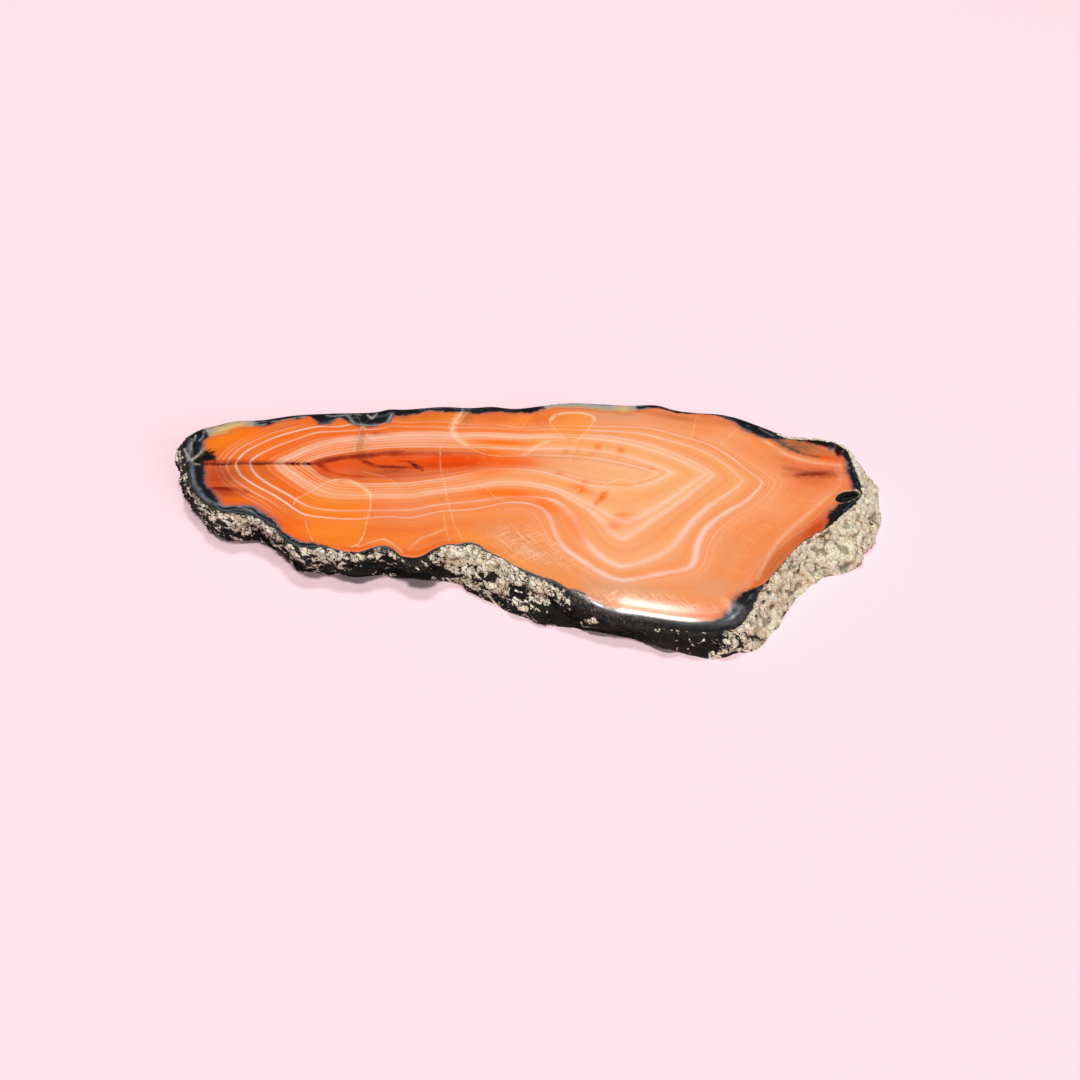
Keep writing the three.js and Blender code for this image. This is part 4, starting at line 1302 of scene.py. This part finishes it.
def polishMarks():
    # hairline scratches left by the polishing wheel: two sets of long faint lines
    ins = {"Where": ("Vector", None), "Scuff": ("Float", 0.0)}
    tree, given, result = group("polishMarks", ins, {"Height": "Float", "Scratch": "Float"})
    where = given["Where"]
    deepest = 0.0
    for turn, seed in ((0.9, 51.0), (-0.5, 52.0), (1.9, 53.0)):
        streak = noise(stretched(where, (0, 0, turn), (20.0, 0.3, 1)), 1.0, 2.0, 0.6, seed)
        deepest = larger(deepest, ease(streak, 0.66, 0.74))
    scratch = times(deepest, ease(noise(where, 12.0, 2.0, 0.5, 54.0), 0.42, 0.62))
    hatch = 0.0
    for turn, seed in ((0.62, 56.0), (-0.95, 57.0)):
        lines = noise(stretched(where, (0, 0, turn), (7.0, 0.32, 1)), 1.0, 3.0, 0.7, seed)
        hatch = larger(hatch, ease(lines, 0.54, 0.62))
    scratch = larger(scratch, times(hatch, given["Scuff"]))
    ripple = times(noise(where, 5.0, 2.0, 0.5, 55.0), 0.03)
    join(scratch, result["Scratch"])
    join(minus(ripple, times(scratch, 0.006)), result["Height"])
    return tree


# The finish of the stone: how glossy it is, and what makes it duller from place to place.
finish = {
    "ior": 1.54,
    "roughness": 0.12,
    "dulledBy": {"scratch": 0.14, "wornCorner": 0.18, "turnDown": 0.42, "sharpEdge": 0.4, "lowEnd": 0.35},
    "waxRoughness": 0.28,      # the soft sheen on the worn corner
    "waxIor": 1.7,
    "skinShine": 0.3,
    "sawnRoughness": 0.52,
}


def newMaterial(name):
    # a material, its shader, a way to read what is stored on the piece, and the place in metres
    material = bpy.data.materials.new(name)
    material.use_nodes = True
    tree = material.node_tree
    tree.nodes.clear()
    shader = place(tree, "ShaderNodeBsdfPrincipled")
    place(tree, "ShaderNodeOutputMaterial", {"Surface": shader.outputs[0]})

    def stored(label):
        return place(tree, "ShaderNodeAttribute", attribute_name=label).outputs["Fac"]

    return material, shader, stored, place(tree, "ShaderNodeTexCoord").outputs["Object"]


def skinOf(groups, stored, where):
    values = {name.capitalize(): stored(name) for name in ("shade", "upper", "relief")}
    return useGroup(groups["rind"], {**values, "Where": where})


def stoneMaterial(groups):
    # polished banded face, its dark rim, and the rough skin round the edge
    material, shader, stored, where = newMaterial("polishedCarnelian")
    where = millimetres(where)
    colour = bandedStone(stored, where, groups)
    marks = useGroup(groups["marks"], {"Where": where, "Scuff": stored("scuff")})
    faint = times(marks["Scratch"], ease(stored("scuff"), 0.1, 0.6, 0.25, 0.75))
    polished = blend(faint, colour, paint(255, 214, 178))
    skin = skinOf(groups, stored, where)
    ragged = times(minus(noise(where, 1.1, 3.0, 0.6, 61.0), 0.5), 1.5)
    creep = minus(times(stored("crust"), 0.9), stored("edgeGap"))
    crusted = ease(plus(creep, ragged), 0.35, 0.6)
    crusted = times(crusted, ease(stored("crust"), 0.1, 0.35))
    tear = times(ragged, minus(0.35, times(stored("rubbed"), 0.25)))
    torn = plus(stored("polish"), tear)
    bare = larger(ease(torn, 0.62, 0.45), crusted)
    pitRim = calc("ABSOLUTE", minus(stored("pitGap"), 0.1))
    pitRim = ease(plus(pitRim, times(ragged, 1.1)), 0.3, 0.08)
    colour = blend(bare, polished, skin["Color"])
    colour = blend(ease(stored("pitGap"), -0.1, -0.5), colour, paint(16, 15, 16))
    colour = blend(times(pitRim, 0.75), colour, paint(206, 176, 138))
    rubbed, edgeGap = stored("rubbed"), stored("edgeGap")
    nearEdge = times(rubbed, ease(edgeGap, 7.0, 3.0))
    sharp = times(rest(smaller(times(rubbed, 3.0), 1.0)), ease(edgeGap, 1.2, 0.5))
    lowEnd = times(rubbed, larger(ease(edgeGap, 0.8, 0.3), ease(stored("rimWidth"), 1.7, 3.3)))
    glossy = finish["roughness"]
    worn = (marks["Scratch"], nearEdge, stored("corner"), sharp, lowEnd)
    for amount, most in zip(worn, finish["dulledBy"].values()):
        glossy = plus(glossy, times(amount, most))
    wax = times(nearEdge, rest(times(lowEnd, 0.9)), rest(bare), rest(stored("corner")))
    wire(shader, {
        "Base Color": colour, "Roughness": between(bare, glossy, skin["Roughness"]), "Coat Weight": wax,
        "Coat Roughness": finish["waxRoughness"], "Coat IOR": finish["waxIor"], "IOR": finish["ior"],
        "Normal": bumped(between(bare, marks["Height"], skin["Height"])),
    })
    return material


def skinMaterial(groups):
    # the rough skin down the flank, duller than anything that was polished
    material, shader, stored, where = newMaterial("roughSkin")
    skin = skinOf(groups, stored, millimetres(where))
    wire(shader, {
        "Base Color": skin["Color"], "Roughness": skin["Roughness"], "Normal": bumped(skin["Height"]),
        "Specular IOR Level": finish["skinShine"],
    })
    return material


def sawnMaterial(groups):
    # the underside: sawn flat, never polished, so the same bands look dusty
    material, shader, stored, where = newMaterial("sawnCarnelian")
    where = millimetres(where)
    dusty = blend(0.34, bandedStone(stored, where, groups), paint(214, 176, 150))
    arcs = place(where, "ShaderNodeMapping", {"Vector": where, "Location": (0, 420, 0)}).outputs[0]
    sawCuts = {"Vector": arcs, "Scale": 0.55, "Distortion": 1.2, "Detail": 2.0}
    saw = place(where, "ShaderNodeTexWave", sawCuts, wave_type="RINGS", rings_direction="Z")
    furrow = saw.outputs["Fac"]
    grit = times(noise(where, 0.5, 3.0, 0.6, 71.0), 0.05)
    wire(shader, {
        "Base Color": blend(times(furrow, 0.12), dusty, paint(236, 208, 188)),
        "Roughness": plus(finish["sawnRoughness"], times(furrow, 0.12)),
        "Normal": bumped(plus(grit, times(furrow, 0.03))), "IOR": finish["ior"],
    })
    return material


def inScene(name, data):
    made = bpy.data.objects.new(name, data)
    bpy.context.scene.collection.objects.link(made)
    return made


def makeSlab():
    piece = inScene("carnelianSlab", stoneMesh())
    makers = {"bands": bandTone, "line": lineMask, "rim": rimTone, "rind": rindTone, "marks": polishMarks}
    groups = {name: make() for name, make in makers.items()}
    tree = rindRelief()
    skin = piece.modifiers.new("rindRelief", "NODES")
    skin.node_group = tree
    values = dict(rindSizes, Stone=stoneMaterial(groups), Skin=skinMaterial(groups))
    values["Sawn Stone"] = sawnMaterial(groups)
    for item in tree.interface.items_tree:
        if item.in_out == "INPUT" and item.name in values:
            skin[item.identifier] = values[item.name]
    depsgraph = bpy.context.evaluated_depsgraph_get()
    finished = bpy.data.meshes.new_from_object(
        piece.evaluated_get(depsgraph), preserve_all_data_layers=True, depsgraph=depsgraph)
    piece.modifiers.remove(skin)
    piece.data = finished
    finished.name = "carnelianSlab"
    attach(piece, "root")
    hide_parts(slab["node"])
    print("slab:", len(finished.polygons), "faces")
    return piece


# Where the slab stands, and what lights it. Lengths in metres.
studio = {
    "floorSize": 60.0,
    "floorColour": (254, 221, 231),
    "floorRoughness": 0.9,
    "floorShine": 0.1,
    "fibres": 900.0,           # how fine the paper's fibres are
    "fibreShade": 0.985,
    "surround": (0.92, 0.9, 0.95),
    "surroundStrength": 0.075,
    "sunStrength": 1.95,
    "sunAngle": 10,
    "sunColour": (1.0, 0.975, 0.95),
    "sunWay": (0.12, 0.27, -0.955),
    # soft lamps that point at the slab: place, size, power
    "lamps": {"overhead": ((-0.16, 0.43, 1.46), 0.3, 7.6), "fill": ((1.1, -1.5, 0.8), 1.2, 15.0)},
    "aim": (0.0034, -0.0031, 0.0),
    "elevation": 37.0,
    "distance": 0.345,
    "lens": 50.0,
    "sensor": 36.0,
    "nearest": 0.01,
    "furthest": 20.0,
}


def pointed(way):
    return Vector(way).to_track_quat("-Z", "Y").to_euler()


def makeFloor():
    build = bmesh.new()
    bmesh.ops.create_grid(build, x_segments=8, y_segments=8, size=studio["floorSize"] / 2)
    mesh = bpy.data.meshes.new("floor")
    build.to_mesh(mesh)
    build.free()
    floor = inScene("floor", mesh)
    material, shader, _, where = newMaterial("palePaper")
    fibres = {"Vector": where, "Scale": studio["fibres"], "Detail": 3.0}
    fibre = place(where, "ShaderNodeTexNoise", fibres)
    tint = paint(*studio["floorColour"])
    duller = tuple(part * studio["fibreShade"] for part in tint[:3]) + (1.0,)
    wire(shader, {
        "Base Color": blend(fibre.outputs[0], tint, duller), "Roughness": studio["floorRoughness"],
        "Specular IOR Level": studio["floorShine"],
    })
    mesh.materials.append(material)
    print("floor")


def makeLights():
    world = bpy.data.worlds.new("studio")
    bpy.context.scene.world = world
    world.use_nodes = True
    background = world.node_tree.nodes["Background"]
    wire(background, {0: studio["surround"] + (1.0,), 1: studio["surroundStrength"]})
    sun = bpy.data.lights.new("key", "SUN")
    sun.energy = studio["sunStrength"]
    sun.angle = math.radians(studio["sunAngle"])
    sun.color = studio["sunColour"]
    inScene("key", sun).rotation_euler = pointed(studio["sunWay"])
    for name, (spot, size, power) in studio["lamps"].items():
        light = bpy.data.lights.new(name, "AREA")
        light.shape = "DISK"
        light.size = size
        light.energy = power
        lamp = inScene(name, light)
        lamp.location = spot
        lamp.rotation_euler = pointed(-Vector(spot))
    print("lights")


def makeCamera():
    camera = bpy.data.cameras.new("camera")
    camera.lens = studio["lens"]
    camera.sensor_width = studio["sensor"]
    camera.clip_start = studio["nearest"]
    camera.clip_end = studio["furthest"]
    eye = inScene("camera", camera)
    rise = math.radians(studio["elevation"])
    away = Vector((0, -math.cos(rise), math.sin(rise))) * studio["distance"]
    eye.location = Vector(studio["aim"]) + away
    eye.rotation_euler = pointed(-away)
    bpy.context.scene.camera = eye
    print("camera")


bpy.context.scene.view_settings.view_transform = "Standard"
makeSlab()
makeFloor()
makeLights()
makeCamera()
print("finished")
